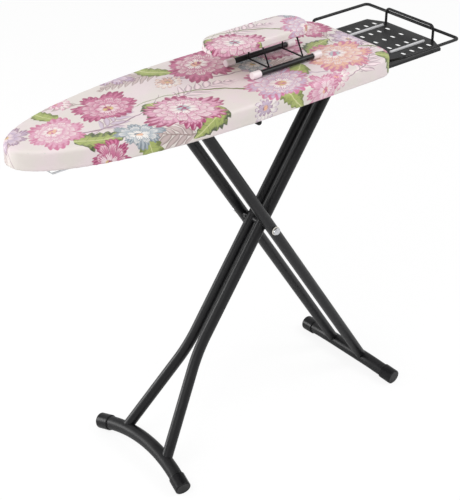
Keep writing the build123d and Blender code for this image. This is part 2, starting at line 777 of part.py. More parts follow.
# ================================================================ outer leg
for side, name in sides:
    with BuildPart() as outer_tube:
        with BuildLine(outer_plane) as tube_line:
            Line(
                (-tube_past_rod, side * outer_spacing / 2),
                (bend_x - joint_setback, side * outer_spacing / 2),
            )
        tube_wire = tube_line.wire()
        with BuildSketch(Plane(tube_wire @ 0, z_dir=tube_wire % 0)):
            Circle(tube_radius)
            Circle(tube_bore, mode=Mode.SUBTRACT)
        sweep(path=tube_wire)
        add(foot_solids["outer"], mode=Mode.SUBTRACT)
        for x, z, radius in ((slide_x, top_axis_height, rod_diameter / 2), (pivot_x, pivot_z, pin_bore)):
            with BuildSketch(Plane.XZ):
                with Locations((x, z)):
                    Circle(radius)
            extrude(amount=outer_face + face_gap, both=True, mode=Mode.SUBTRACT)
    outer_tube.part.label = f"outer_tube_{name}"
    export_step(outer_tube.part, f"parts/outer_tube_{name}.step")

with BuildPart() as slide_rod:
    with BuildSketch(Plane.XZ):
        with Locations((slide_x, top_axis_height)):
            Circle(rod_diameter / 2)
    extrude(amount=outer_face + face_gap, both=True)
slide_rod.part.label = "slide_rod"
export_step(slide_rod.part, "parts/slide_rod.step")

glide_inner = rack_half - rack_wall
with BuildPart() as slide_glides:
    for side, name in sides:
        with BuildSketch(Plane.XZ.offset(side * glide_inner)):
            with Locations((slide_x, top_axis_height)):
                Circle(glide_diameter / 2)
                Circle(rod_diameter / 2, mode=Mode.SUBTRACT)
        extrude(amount=side * (inner_face - face_gap - glide_inner))
        with BuildSketch(Plane.XZ.offset(side * (inner_face - face_gap - glide_flange_thick))):
            with Locations((slide_x, top_axis_height)):
                Circle(glide_flange / 2)
                Circle(rod_diameter / 2, mode=Mode.SUBTRACT)
        extrude(amount=side * glide_flange_thick)
slide_glides.part.label = "slide_glides"
export_step(slide_glides.part, "parts/slide_glides.step")

# ================================================================ iron rest
tuck_z = tray_top + rest_rod / 2
with BuildPart() as rest_frame:
    with BuildLine() as frame_line:
        FilletPolyline(
            (tail_x - ear_length, -rest_tuck, tuck_z),
            (tail_x - neck_in, -rest_tuck, tuck_z),
            (tail_x + neck_out, -rest_half, rest_height),
            (rest_end_x, -rest_half, rest_height),
            (rest_end_x, rest_half, rest_height),
            (tail_x + neck_out, rest_half, rest_height),
            (tail_x - neck_in, rest_tuck, tuck_z),
            (tail_x - ear_length, rest_tuck, tuck_z),
            radius=[neck_radius, neck_radius, rest_corner, rest_corner, neck_radius, neck_radius],
        )
    frame_wire = frame_line.wire()
    with BuildSketch(Plane(frame_wire @ 0, z_dir=frame_wire % 0)):
        Circle(rest_rod / 2)
    sweep(path=frame_wire)
rest_frame.part.label = "rest_frame"
export_step(rest_frame.part, "parts/rest_frame.step")

guard_x = rest_end_x - (rest_rod + guard_rod) / 2
tray_end_x = guard_x + tray_end_gap


def tray_outline(inset):
    """Tray floor with clipped outer corners and two mounting ears."""
    floor_x = tail_x - tray_under + inset
    end_x = tray_end_x - inset
    half = tray_half - inset
    ear = ear_inner + inset
    ear_x = tail_x - ear_length + inset
    with BuildSketch(Plane.XY) as outline:
        with BuildLine():
            Polyline(
                (floor_x, -ear),
                (ear_x, -ear),
                (ear_x, -half),
                (tray_end_x - chamfer_x, -half),
                (end_x, -tray_half + chamfer_y),
                (end_x, tray_half - chamfer_y),
                (tray_end_x - chamfer_x, half),
                (ear_x, half),
                (ear_x, ear),
                (floor_x, ear),
                close=True,
            )
        make_face()
    return outline.sketch


with BuildPart() as rest_tray:
    with BuildSketch(Plane.XY.offset(tray_top - tray_flange)):
        add(tray_outline(0))
    extrude(amount=tray_flange)
    with BuildSketch(Plane.XY.offset(tray_top - tray_flange)):
        add(tray_outline(tray_sheet))
    extrude(amount=tray_flange - tray_sheet, mode=Mode.SUBTRACT)
    with BuildSketch(Plane.XY.offset(tray_top - tray_flange)):
        with Locations((tray_end_x - hole_from_end - 1.5 * hole_pitch_x, 0)):
            with GridLocations(hole_pitch_x, hole_pitch_y, 4, 5):
                SlotOverall(hole_long, hole_wide, rotation=90)
        for side in (-1, 1):
            for dx in (-screw_spread / 2, screw_spread / 2):
                with Locations((block_x + dx, side * screw_row)):
                    Circle(screw_diameter / 2)
    extrude(amount=tray_flange, mode=Mode.SUBTRACT)
rest_tray.part.label = "rest_tray"
export_step(rest_tray.part, "parts/rest_tray.step")

with BuildPart() as heat_strips:
    with BuildSketch(Plane.XY.offset(tray_top)):
        for side, name in sides:
            with Locations((tray_end_x - strip_from_end - strip_length / 2, side * strip_half)):
                SlotOverall(strip_length, strip_width)
    extrude(amount=strip_height)
    fillet(heat_strips.faces().filter_by(Axis.Z).group_by(Axis.Z)[-1].edges(), strip_width / 4)
heat_strips.part.label = "heat_strips"
export_step(heat_strips.part, "parts/heat_strips.step")

with BuildPart() as guard_loop:
    with BuildLine() as guard_line:
        FilletPolyline(
            (guard_x, -guard_half, tray_top),
            (guard_x, -guard_half, guard_top),
            (guard_x, guard_half, guard_top),
            (guard_x, guard_half, tray_top),
            radius=guard_corner,
        )
    guard_wire = guard_line.wire()
    with BuildSketch(Plane(guard_wire @ 0, z_dir=guard_wire % 0)):
        Circle(guard_rod / 2)
    sweep(path=guard_wire)
guard_loop.part.label = "guard_loop"
export_step(guard_loop.part, "parts/guard_loop.step")

# Mounting blocks between the deck sheet and the tray's ears, grooved for the side rods.
for side, name in sides:
    with BuildPart() as rest_block:
        with BuildSketch(Plane.XY.offset(tray_top)):
            with Locations((block_x, side * (block_inner + block_width / 2))):
                RectangleRounded(block_length, block_width, cap_wall)
        extrude(amount=sheet_bottom - tray_top)
        with BuildSketch(Plane.YZ.offset(tail_x - block_from_tail)):
            with Locations((side * rest_tuck, tuck_z)):
                Circle(rest_rod / 2)
            with Locations((side * rest_tuck, tray_top)):
                Rectangle(rest_rod, rest_rod)
        extrude(amount=-block_length, mode=Mode.SUBTRACT)
        with BuildSketch(Plane.XY.offset(tray_top)):
            for dx in (-screw_spread / 2, screw_spread / 2):
                with Locations((block_x + dx, side * screw_row)):
                    Circle(screw_diameter / 2)
        extrude(amount=sheet_bottom - tray_top, mode=Mode.SUBTRACT)
    rest_block.part.label = f"rest_block_{name}"
    export_step(rest_block.part, f"parts/rest_block_{name}.step")

tray_underside = tray_top - tray_sheet
with BuildPart() as rest_screws:
    for side, name in sides:
        for dx in (-screw_spread / 2, screw_spread / 2):
            x = block_x + dx
            with Locations((x, side * screw_row, tray_underside)):
                Cylinder(
                    screw_diameter / 2,
                    sheet_top - tray_underside,
                    align=(Align.CENTER, Align.CENTER, Align.MIN),
                )
                Cylinder(
                    screw_head / 2,
                    screw_head_height,
                    align=(Align.CENTER, Align.CENTER, Align.MAX),
                )
rest_screws.part.label = "rest_screws"
export_step(rest_screws.part, "parts/rest_screws.step")

# ================================================================ sleeve board
sleeve_inner_top = sleeve_top - cover_wall
sleeve_board_top = sleeve_inner_top - sleeve_felt
sleeve_under = sleeve_board_top - sleeve_board
sleeve_bottom = sleeve_under - cover_wall
stand_axis = board_top + stand_clear + stand_cap / 2

with BuildPart() as sleeve_deck:
    with BuildSketch(Plane.XY.offset(sleeve_under)):
        add(sleeve_outline(rim_inset))
    extrude(amount=sleeve_board)
sleeve_deck.part.label = "sleeve_deck"
export_step(sleeve_deck.part, "parts/sleeve_deck.step")

with BuildPart() as sleeve_felt_pad:
    with BuildSketch(Plane.XY.offset(sleeve_board_top)):
        add(sleeve_outline(cover_wall))
    extrude(amount=sleeve_felt)
    fillet(sleeve_felt_pad.faces().sort_by(Axis.Z)[-1].edges(), sleeve_round - cover_wall)
sleeve_felt_pad.part.label = "sleeve_felt"
export_step(sleeve_felt_pad.part, "parts/sleeve_felt.step")

with BuildPart() as sleeve_inside:
    with BuildSketch(Plane.XY.offset(sleeve_under)):
        add(sleeve_outline(cover_wall))
    extrude(amount=sleeve_inner_top - sleeve_under)
    fillet(sleeve_inside.faces().sort_by(Axis.Z)[-1].edges(), sleeve_round - cover_wall)

with BuildPart() as sleeve_cover:
    with BuildSketch(Plane.XY.offset(sleeve_bottom)):
        add(sleeve_outline(0))
    extrude(amount=sleeve_top - sleeve_bottom)
    fillet(sleeve_cover.faces().sort_by(Axis.Z)[-1].edges(), sleeve_round)
    add(sleeve_inside.part, mode=Mode.SUBTRACT)
    with BuildSketch(Plane.XY.offset(sleeve_bottom)):
        add(sleeve_outline(sleeve_hem))
    extrude(amount=cover_wall, mode=Mode.SUBTRACT)
sleeve_cover.part.label = "sleeve_cover"
export_step(sleeve_cover.part, "parts/sleeve_cover.step")

# Stand: two wire frames that lean towards the nose, hinged at both ends.
wire_top_z = sleeve_under - wire / 2 - running_gap
wire_rise = wire_top_z - stand_axis
wire_shift = wire_rise * tan(radians(wire_lean))
wire_run = wire_rise / cos(radians(wire_lean))
stand_half = stand_spacing / 2
wire_past_tube = 2.5
frames = (("stand_wire_front", front_wire_from_nose), ("stand_wire_rear", rear_wire_from_nose))
for label, from_nose in frames:
    foot = (nose_x + from_nose, sleeve_middle_y, stand_axis)
    lean = radians(wire_lean)
    frame_plane = Plane(origin=foot, x_dir=(0, 1, 0), z_dir=(cos(lean), 0, sin(lean)))
    with BuildPart() as stand_wire:
        with BuildLine(frame_plane) as bow_line:
            FilletPolyline(
                (-wire_low_half, 0),
                (-wire_high_half, wire_run),
                (wire_high_half, wire_run),
                (wire_low_half, 0),
                radius=wire_corner,
            )
        bow_wire = bow_line.wire()
        with BuildSketch(Plane(bow_wire @ 0, z_dir=bow_wire % 0)):
            Circle(wire / 2)
        sweep(path=bow_wire)
        with BuildSketch(Plane.XZ.offset(-sleeve_middle_y)):
            with Locations((foot[0], foot[2])):
                Circle(wire / 2)
        extrude(amount=stand_half + stand_tube / 2 + wire_past_tube, both=True)
    stand_wire.part.label = label
    export_step(stand_wire.part, f"parts/{label}.step")

for side, name in sides:
    tube_y = sleeve_middle_y + side * stand_half
    with BuildPart() as stand_foot:
        with BuildSketch(Plane.YZ.offset(nose_x + stand_from_nose)):
            with Locations((tube_y, stand_axis)):
                Circle(stand_tube / 2)
                Circle(stand_tube / 2 - stand_tube_wall, mode=Mode.SUBTRACT)
        extrude(amount=stand_length)
        with BuildSketch(Plane.XZ.offset(-tube_y)):
            with Locations(
                (nose_x + front_wire_from_nose, stand_axis),
                (nose_x + rear_wire_from_nose, stand_axis),
            ):
                Circle(wire / 2 + running_gap)
        extrude(amount=stand_tube, both=True, mode=Mode.SUBTRACT)
    stand_foot.part.label = f"stand_tube_{name}"
    export_step(stand_foot.part, f"parts/stand_tube_{name}.step")
    with BuildPart() as stand_caps:
        for end_x, out in ((nose_x + stand_from_nose, -1), (nose_x + stand_from_nose + stand_length, 1)):
            with BuildSketch(Plane.YZ.offset(end_x - out * stand_cap_grip)):
                with Locations((tube_y, stand_axis)):
                    Circle(stand_cap / 2)
            extrude(amount=out * (stand_cap_grip + stand_cap_end))
        fillet(stand_caps.edges().filter_by(GeomType.CIRCLE), stand_cap / 12)
        for end_x, out in ((nose_x + stand_from_nose, -1), (nose_x + stand_from_nose + stand_length, 1)):
            with BuildSketch(Plane.YZ.offset(end_x - out * stand_cap_grip)):
                with Locations((tube_y, stand_axis)):
                    Circle(stand_tube / 2)
            extrude(amount=out * stand_cap_grip, mode=Mode.SUBTRACT)
    stand_caps.part.label = f"stand_caps_{name}"
    export_step(stand_caps.part, f"parts/stand_caps_{name}.step")

# Saddle clips and their screws hold the wires' top bars under the sleeve board.
clip_inner = wire / 2 + running_gap
clip_spots = []
for label, from_nose in frames:
    for side in (-1, 1):
        clip_spots.append((nose_x + from_nose - wire_shift, sleeve_middle_y + side * clip_offset))
with BuildPart() as wire_clips:
    for x, y in clip_spots:
        with BuildSketch(Plane.XZ.offset(-y)):
            with Locations((x, sleeve_under)):
                Rectangle(clip_length, clip_wall, align=(Align.CENTER, Align.MAX))
                Rectangle(2 * (clip_inner + clip_wall), clip_inner, align=(Align.CENTER, Align.MAX))
            with Locations((x, wire_top_z)):
                Circle(clip_inner + clip_wall)
                Circle(clip_inner, mode=Mode.SUBTRACT)
            with Locations((x, sleeve_under)):
                Rectangle(2 * clip_inner, clip_inner, align=(Align.CENTER, Align.MAX), mode=Mode.SUBTRACT)
                Rectangle(clip_length, clip_wall, align=(Align.CENTER, Align.MIN), mode=Mode.SUBTRACT)
        extrude(amount=clip_width / 2, both=True)
    for x, y in clip_spots:
        with BuildSketch(Plane.XY.offset(sleeve_under - clip_wall)):
            for side in (-1, 1):
                with Locations((x + side * (clip_length / 2 - clip_screw), y)):
                    Circle(clip_screw / 2)
        extrude(amount=clip_wall, mode=Mode.SUBTRACT)
wire_clips.part.label = "wire_clips"
export_step(wire_clips.part, "parts/wire_clips.step")

screw_head_thin = 1.0
with BuildPart() as clip_screws:
    for x, y in clip_spots:
        for side in (-1, 1):
            with Locations((x + side * (clip_length / 2 - clip_screw), y, sleeve_under - clip_wall)):
                Cylinder(clip_screw / 2, clip_wall, align=(Align.CENTER, Align.CENTER, Align.MIN))
                Cylinder(
                    clip_screw * 0.9,
                    screw_head_thin,
                    align=(Align.CENTER, Align.CENTER, Align.MAX),
                )
clip_screws.part.label = "clip_screws"
export_step(clip_screws.part, "parts/clip_screws.step")
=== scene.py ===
# %% [markdown]
# # A folding ironing board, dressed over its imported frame
# The steel work, the hinges and the feet arrive finished as solids. This lesson gives them
# their paint, and makes the soft things that a solid can only stand in for: the printed
# cotton covers, the felt under them and the drawcord that holds the big cover tight.

# %% The frame
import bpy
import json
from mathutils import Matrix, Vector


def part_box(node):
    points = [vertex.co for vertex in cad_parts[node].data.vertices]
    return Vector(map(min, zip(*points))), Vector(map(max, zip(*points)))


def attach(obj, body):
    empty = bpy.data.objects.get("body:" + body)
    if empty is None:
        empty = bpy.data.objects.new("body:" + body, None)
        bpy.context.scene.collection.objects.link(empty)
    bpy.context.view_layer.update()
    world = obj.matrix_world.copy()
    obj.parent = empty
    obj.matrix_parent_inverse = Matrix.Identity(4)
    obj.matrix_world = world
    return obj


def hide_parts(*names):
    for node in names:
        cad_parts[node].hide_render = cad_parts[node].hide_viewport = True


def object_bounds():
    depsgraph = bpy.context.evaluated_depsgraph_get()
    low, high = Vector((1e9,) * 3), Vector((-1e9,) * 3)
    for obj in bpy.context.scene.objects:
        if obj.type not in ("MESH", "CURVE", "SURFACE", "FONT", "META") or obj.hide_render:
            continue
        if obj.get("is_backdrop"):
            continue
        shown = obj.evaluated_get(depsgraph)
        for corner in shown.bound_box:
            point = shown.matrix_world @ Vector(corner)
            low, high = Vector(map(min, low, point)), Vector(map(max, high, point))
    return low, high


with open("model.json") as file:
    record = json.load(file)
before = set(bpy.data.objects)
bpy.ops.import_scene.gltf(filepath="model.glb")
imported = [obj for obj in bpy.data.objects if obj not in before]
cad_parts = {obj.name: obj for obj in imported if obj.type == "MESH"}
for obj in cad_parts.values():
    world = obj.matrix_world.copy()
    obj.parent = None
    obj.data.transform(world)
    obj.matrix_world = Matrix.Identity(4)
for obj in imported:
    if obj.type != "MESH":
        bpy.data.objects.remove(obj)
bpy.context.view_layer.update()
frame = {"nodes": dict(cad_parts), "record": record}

import json
import math

import bmesh
import bpy
import numpy as np
from mathutils import Vector
from mathutils.bvhtree import BVHTree
from mathutils.kdtree import KDTree

scene = bpy.context.scene

# %% [markdown]
# ## Camera
# The board is seen from its near side and a little from the nose, from about a metre above
# its top. A long lens at three metres keeps the two pairs of legs nearly parallel. The
# camera is placed by two angles and a distance, since those are what one judges.

# %% Camera
camera_azimuth = math.radians(-39.36)
camera_elevation = math.radians(30.55)
camera_distance = 2.9565
camera_target = Vector((-0.0029, 0.0, 0.4569))
camera_lens = 95.8


def direction(azimuth, elevation):
    """From the object towards a place round it; azimuth 0 stands on the near side."""
    return Vector((
        math.sin(azimuth) * math.cos(elevation),
        -math.cos(azimuth) * math.cos(elevation),
        math.sin(elevation),
    ))


camera_data = bpy.data.cameras.new("camera")
camera_data.lens = camera_lens
camera_data.sensor_width = 36.0
camera = bpy.data.objects.new("camera", camera_data)
scene.collection.objects.link(camera)
towards_camera = direction(camera_azimuth, camera_elevation)
camera.location = camera_target + towards_camera * camera_distance
camera.rotation_euler = towards_camera.to_track_quat("Z", "Y").to_euler()
scene.camera = camera
scene.view_settings.view_transform = "Standard"
print("camera at", [round(value, 3) for value in camera.location])

# %% [markdown]
# ## Node trees in a few words
# Every material and shader group below is built in code. A few small helpers keep that
# readable. One adds a node and fills its sockets: a number goes onto the socket itself, and
# an output of another node is linked to it. The class Value lets a sum on an output be
# written as a sum, and adds the Math node for it.

# %% Helpers for node trees


class Value:
    """One output in a node tree, with the usual signs for sums on it."""

    def __init__(self, tree, socket):
        self.tree = tree
        self.socket = socket

    def __add__(self, other):
        return maths("ADD", self, other)

    def __sub__(self, other):
        return maths("SUBTRACT", self, other)

    def __rsub__(self, other):
        return maths("SUBTRACT", other, self)

    def __mul__(self, other):
        return maths("MULTIPLY", self, other)

    def __truediv__(self, other):
        return maths("DIVIDE", self, other)


def add_node(tree, kind, inputs=(), **settings):
    """A node of that kind. inputs maps a socket's name or place to a number or a Value."""
    node = tree.nodes.new(kind)
    for name, value in settings.items():
        setattr(node, name, value)
    for name, value in dict(inputs).items():
        if isinstance(value, Value):
            tree.links.new(value.socket, node.inputs[name])
        else:
            node.inputs[name].default_value = value
    return node


def values_of(tree, sockets):
    """A node's outputs, by their names."""
    return {socket.name: Value(tree, socket) for socket in sockets}


def output(tree, kind, name, inputs=(), **settings):
    """One output of a new node, by its name or place."""
    return Value(tree, add_node(tree, kind, inputs, **settings).outputs[name])


def link(value, socket):
    """Feeds a Value into a socket."""
    value.tree.links.new(value.socket, socket)


def tree_of(numbers):
    """The tree that the first Value among some numbers is in."""
    return next(number.tree for number in numbers if isinstance(number, Value))


def maths(operation, *numbers, clamp=False):
    """One Math node on up to three numbers."""
    return output(
        tree_of(numbers), "ShaderNodeMath", 0, dict(enumerate(numbers)), operation=operation, use_clamp=clamp
    )


def vector_maths(operation, *vectors, name=0):
    """One Vector Math node on up to three vectors; name says which output is wanted."""
    return output(
        tree_of(vectors), "ShaderNodeVectorMath", name, dict(enumerate(vectors)), operation=operation
    )


def smooth_step(value, low, high):
    """0 below low, 1 above high, and a soft slope between."""
    return output(
        value.tree, "ShaderNodeMapRange", "Result", {"Value": value, "From Min": low, "From Max": high},
        interpolation_type="SMOOTHSTEP",
    )


def mix_colour(factor, under, over):
    """Colour over laid on colour under, as far as factor says."""
    return output(factor.tree, "ShaderNodeMix", 2, {"Factor": factor, 6: under, 7: over}, data_type="RGBA")


def noise(place, scale, detail, **more):
    """Clouds of noise from 0 to 1 over a place."""
    return output(
        place.tree, "ShaderNodeTexNoise", "Fac", {"Vector": place, "Scale": scale, "Detail": detail, **more}
    )


def object_place(tree):
    """Where a point is in its object, in metres."""
    return output(tree, "ShaderNodeTexCoord", "Object")


def new_group(name, inputs, outputs):
    """An empty shader group. An input is named with its first number, or with its kind."""
    tree = bpy.data.node_groups.new(name, "ShaderNodeTree")
    for socket_name, first in inputs.items():
        is_number = isinstance(first, float)
        kind = "Float" if is_number else first
        socket = tree.interface.new_socket(socket_name, in_out="INPUT", socket_type="NodeSocket" + kind)
        if is_number:
            socket.default_value = first
    for socket_name, kind in outputs.items():
        tree.interface.new_socket(socket_name, in_out="OUTPUT", socket_type="NodeSocket" + kind)
    given = values_of(tree, tree.nodes.new("NodeGroupInput").outputs)
    return tree, given, tree.nodes.new("NodeGroupOutput").inputs


def use_group(tree, group, inputs):
    """One instance of a shader group, with its own values. Gives its outputs by name."""
    return values_of(tree, add_node(tree, "ShaderNodeGroup", inputs, node_tree=group).outputs)


def new_material(name, **numbers):
    """A material with one Principled shader, and numbers set on that shader's own sockets."""
    material = bpy.data.materials.new(name)
    material.use_nodes = True
    shader = material.node_tree.nodes["Principled BSDF"]
    for socket_name, value in numbers.items():
        shader.inputs[socket_name.replace("_", " ")].default_value = value
    return material, material.node_tree, shader


def colour_and_relief(shader, colour, height, distance, strength):
    """Gives a shader its colour, and a relief that is distance deep, in metres."""
    link(colour, shader.inputs["Base Color"])
    relief = {"Strength": strength, "Distance": distance, "Height": height}
    link(output(height.tree, "ShaderNodeBump", "Normal", relief), shader.inputs["Normal"])


def linear(*screen):
    """Red, green and blue from 0 to 255, as on a screen, made into what a shader wants."""
    parts = [level / 255 for level in screen]
    curve = [v / 12.92 if v <= 0.04045 else ((v + 0.055) / 1.055) ** 2.4 for v in parts]
    return (*curve, 1.0)


# %% [markdown]
# ## Studio
# A white room with soft light from all round suits cotton and black paint alike. The world
# shows plain white to the camera, but lights the object and is mirrored at a lower level, so
# that pale cloth keeps its colour and black paint stays black. Three lamps add direction: a
# key over the near side, a low one past the nose that draws a line of light down the tubes,
# and one beyond the tail that puts a sheen along the board's near shoulder.

# %% World
world_level = 0.62
world = bpy.data.worlds.new("studio")
scene.world = world
world.use_nodes = True
world_tree = world.node_tree
rays = values_of(world_tree, add_node(world_tree, "ShaderNodeLightPath").outputs)
seen = maths("MAXIMUM", rays["Is Camera Ray"], rays["Is Transmission Ray"])
background = world_tree.nodes["Background"].inputs
background["Color"].default_value = (1.0, 1.0, 1.0, 1.0)
link(maths("MULTIPLY_ADD", seen, 1.0 - world_level, world_level), background["Strength"])

# %% Lamps


def soft_lamp(name, azimuth, elevation, distance, size, power):
    """A square area lamp that looks at the middle of the board."""
    data = bpy.data.lights.new(name, "AREA")
    data.size = size
    data.energy = power
    lamp = bpy.data.objects.new(name, data)
    scene.collection.objects.link(lamp)
    towards_lamp = direction(math.radians(azimuth), math.radians(elevation))
    lamp.location = camera_target + towards_lamp * distance
    lamp.rotation_euler = towards_lamp.to_track_quat("Z", "Y").to_euler()


soft_lamp("key", azimuth=-75.0, elevation=48.0, distance=3.2, size=1.8, power=38.0)
soft_lamp("nose", azimuth=-140.0, elevation=4.0, distance=3.0, size=1.2, power=36.0)
soft_lamp("sheen", azimuth=47.0, elevation=42.0, distance=3.2, size=1.4, power=30.0)
print("lamps:", len(bpy.data.lights))

# %% [markdown]
# ### Floor
# The floor has to look as white as the world and still take a faint shadow under the feet. A
# white glow, shown to the camera only, covers most of a plain pale floor, and what is left of
# the floor holds the shadow. Seen from below it is clear, so that the underside can be looked
# at.

# %% Floor
floor_half = 7.0
floor_shadow = 0.15
floor_glow = 1.03


def link_mesh(name, mesh):
    """A new object at the origin that shows that mesh."""
    piece = bpy.data.objects.new(name, mesh)
    scene.collection.objects.link(piece)
    return piece


floor_mesh = bpy.data.meshes.new("floor")
floor_mesh.from_pydata(
    [(x * floor_half, y * floor_half, 0.0) for x, y in ((-1, -1), (1, -1), (1, 1), (-1, 1))],
    [],
    [(0, 1, 2, 3)],
)
floor = link_mesh("floor", floor_mesh)
floor_material, floor_tree, floor_shader = new_material(
    "white_floor", Roughness=0.9, Base_Color=(0.9, 0.9, 0.9, 1.0), Specular_IOR_Level=0.0
)
floor_matt = Value(floor_tree, floor_shader.outputs[0])
floor_white = output(floor_tree, "ShaderNodeEmission", 0, {"Color": (1, 1, 1, 1), "Strength": floor_glow})
floor_seen = output(floor_tree, "ShaderNodeLightPath", "Is Camera Ray") * (1.0 - floor_shadow)
floor_top = output(floor_tree, "ShaderNodeMixShader", 0, {0: floor_seen, 1: floor_matt, 2: floor_white})
floor_back = output(floor_tree, "ShaderNodeNewGeometry", "Backfacing")
floor_clear = output(floor_tree, "ShaderNodeBsdfTransparent", 0)
floor_whole = output(floor_tree, "ShaderNodeMixShader", 0, {0: floor_back, 1: floor_top, 2: floor_clear})
link(floor_whole, floor_tree.nodes["Material Output"].inputs["Surface"])
floor_mesh.materials.append(floor_material)
floor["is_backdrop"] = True

# %% [markdown]
# ## Effects that several finishes share
# Paint, plastic and metal all show a fine grain, a little wear where hands and edges rub,
# and some dust on what faces up. Each effect is one group, made once, that puts out a value
# from 0 to 1. A finish then decides what to do with it: change the colour, the roughness or
# the height of the surface.

# %% Grain, wear and dust


def grain_group():
    """Fine bumps, as orange peel in paint or the bite of a mould."""
    tree, given, out = new_group(
        "surface_grain", {"Scale": 900.0, "Unevenness": 0.5}, {"Height": "Float", "Patches": "Float"}
    )
    place = object_place(tree)
    fine = noise(place, given["Scale"], 2.0)
    patches = smooth_step(noise(place, 14.0, 3.0), 0.35, 0.65)
    link(fine, out["Height"])
    link(patches * given["Unevenness"], out["Patches"])
    return tree


def wear_group():
    """1 on edges and corners that get rubbed, broken up by noise."""
    tree, given, out = new_group("edge_wear", {"Width": 0.001, "Amount": 0.5}, {"Mask": "Float"})
    rounded = output(tree, "ShaderNodeBevel", "Normal", {"Radius": given["Width"]}, samples=4)
    true_normal = output(tree, "ShaderNodeNewGeometry", "Normal")
    turned = smooth_step(vector_maths("DOT_PRODUCT", rounded, true_normal, name="Value"), 0.995, 0.86)
    patchy = smooth_step(noise(object_place(tree), 160.0, 4.0), 0.48, 0.62)
    link(turned * patchy * given["Amount"], out["Mask"])
    return tree


def dust_group():
    """1 on what faces up, in soft patches."""
    tree, given, out = new_group("settled_dust", {"Amount": 0.2}, {"Mask": "Float"})
    normal = output(tree, "ShaderNodeNewGeometry", "Normal")
    up = output(tree, "ShaderNodeSeparateXYZ", "Z", {"Vector": normal})
    patchy = smooth_step(noise(object_place(tree), 22.0, 5.0), 0.42, 0.66)
    link(smooth_step(up, 0.25, 0.95) * patchy * given["Amount"], out["Mask"])
    return tree


grain = grain_group()
wear = wear_group()
dust = dust_group()
print("shared effects:", grain.name, wear.name, dust.name)

# %% [markdown]
# ## Hard finishes
# The tubes, wires and trays have a satin black powder coat: nearly black, with a broad soft
# highlight and a faint orange peel. Where edges rub, the coat turns a little greyer. One
# function makes every hard finish from the same parts, because they differ only in their
# numbers, and those stand in a table.

# %% One function for the hard finishes
wear_width = 0.0012
patch_lighter = 1.18
patch_rougher = 0.07
dust_rougher = 0.35
dust_colour = (0.55, 0.53, 0.50, 1.0)


def hard_finish(name, base, worn, roughness, grain_scale, grain_height, wear_amount, dust_amount, metallic,
                mirror):
    """Paint, plastic or bare metal with grain, worn edges and a little dust."""
    base, worn = linear(*base), linear(*worn)
    material, tree, shader = new_material(name, Metallic=metallic, Specular_IOR_Level=mirror)
    fine = use_group(tree, grain, {"Scale": grain_scale, "Unevenness": 1.0})
    rubbed = use_group(tree, wear, {"Width": wear_width, "Amount": wear_amount})["Mask"]
    dusted = use_group(tree, dust, {"Amount": dust_amount})["Mask"]
    lighter = (*(min(1.0, channel * patch_lighter) for channel in base[:3]), 1.0)
    colour = mix_colour(fine["Patches"], base, lighter)
    colour = mix_colour(rubbed, colour, worn)
    colour = mix_colour(dusted, colour, dust_colour)
    rough = maths("MULTIPLY_ADD", fine["Patches"], patch_rougher, roughness)
    rough = maths("MULTIPLY_ADD", dusted, dust_rougher, rough, clamp=True)
    link(rough, shader.inputs["Roughness"])
    colour_and_relief(shader, colour, fine["Height"], distance=grain_height, strength=0.6)
    return material


finish_table = {
    # slot: name, colour, worn colour, roughness, grain scale and height, wear, dust, metallic, mirror
    "black_steel": (
        "powder_coat", (18, 18, 20), (58, 58, 60), 0.34, 1400.0, 0.00006, 0.3, 0.01, 0.0, 0.32),
    "black_plastic": (
        "black_plastic", (15, 15, 17), (48, 48, 50), 0.25, 2200.0, 0.00003, 0.25, 0.01, 0.0, 0.25),
    "white_plastic": (
        "white_plastic", (226, 218, 219), (196, 190, 188), 0.34, 2200.0, 0.00003, 0.3, 0.05, 0.0, 0.5),
    "bright_steel": (
        "zinc_plate", (196, 197, 200), (150, 148, 142), 0.27, 1800.0, 0.00002, 0.4, 0.03, 1.0, 0.5),
    "spring_steel": (
        "spring_steel", (150, 150, 153), (104, 98, 92), 0.33, 1800.0, 0.00002, 0.4, 0.03, 1.0, 0.5),
    "nylon": (
        "natural_nylon", (225, 221, 210), (196, 190, 176), 0.45, 1500.0, 0.00003, 0.4, 0.08, 0.0, 0.5),
    "grey_silicone": (
        "grey_silicone", (190, 190, 192), (168, 168, 170), 0.62, 1500.0, 0.00004, 0.3, 0.08, 0.0, 0.5),
}
finishes = {slot: hard_finish(*numbers) for slot, numbers in finish_table.items()}
print("hard finishes:", ", ".join(sorted(finishes)))

# %% [markdown]
# ### Plywood
# The sleeve board is a plain plywood blank. Its face shows long, wavy grain, and its edge,
# where the cloth leaves it bare underneath, shows the plies. Noise stretched along the board
# gives the face, and thin bands across its height give the edge.

# %% Plywood
ply_thickness = 0.0016


def plywood_finish():
    """Raw birch plywood, grain along X and plies across Z."""
    material, tree, shader = new_material("raw_plywood", Roughness=0.62)
    place = object_place(tree)
    stretched = output(tree, "ShaderNodeMapping", 0, {"Vector": place, "Scale": (2.2, 34.0, 20.0)})
    figure = noise(stretched, 6.0, 6.0, Distortion=0.6)
    colour = mix_colour(smooth_step(figure, 0.32, 0.68), linear(206, 176, 132), linear(176, 140, 96))
    height = output(tree, "ShaderNodeSeparateXYZ", "Z", {"Vector": place})
    ply = smooth_step(maths("PINGPONG", height, ply_thickness), ply_thickness * 0.25, ply_thickness * 0.75)
    normal = output(tree, "ShaderNodeNewGeometry", "Normal")
    up = output(tree, "ShaderNodeSeparateXYZ", "Z", {"Vector": normal})
    on_edge = smooth_step(maths("ABSOLUTE", up), 0.8, 0.3)
    colour = mix_colour(ply * on_edge, colour, linear(140, 104, 66))
    colour_and_relief(shader, colour, figure, distance=0.0002, strength=0.5)
    return material


finishes["plywood"] = plywood_finish()

# %% [markdown]
# ### Finishes for the solids that stay
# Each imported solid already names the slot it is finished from, so one loop gives every one
# its material. Soft solids are dealt with later, since other pieces take their place.

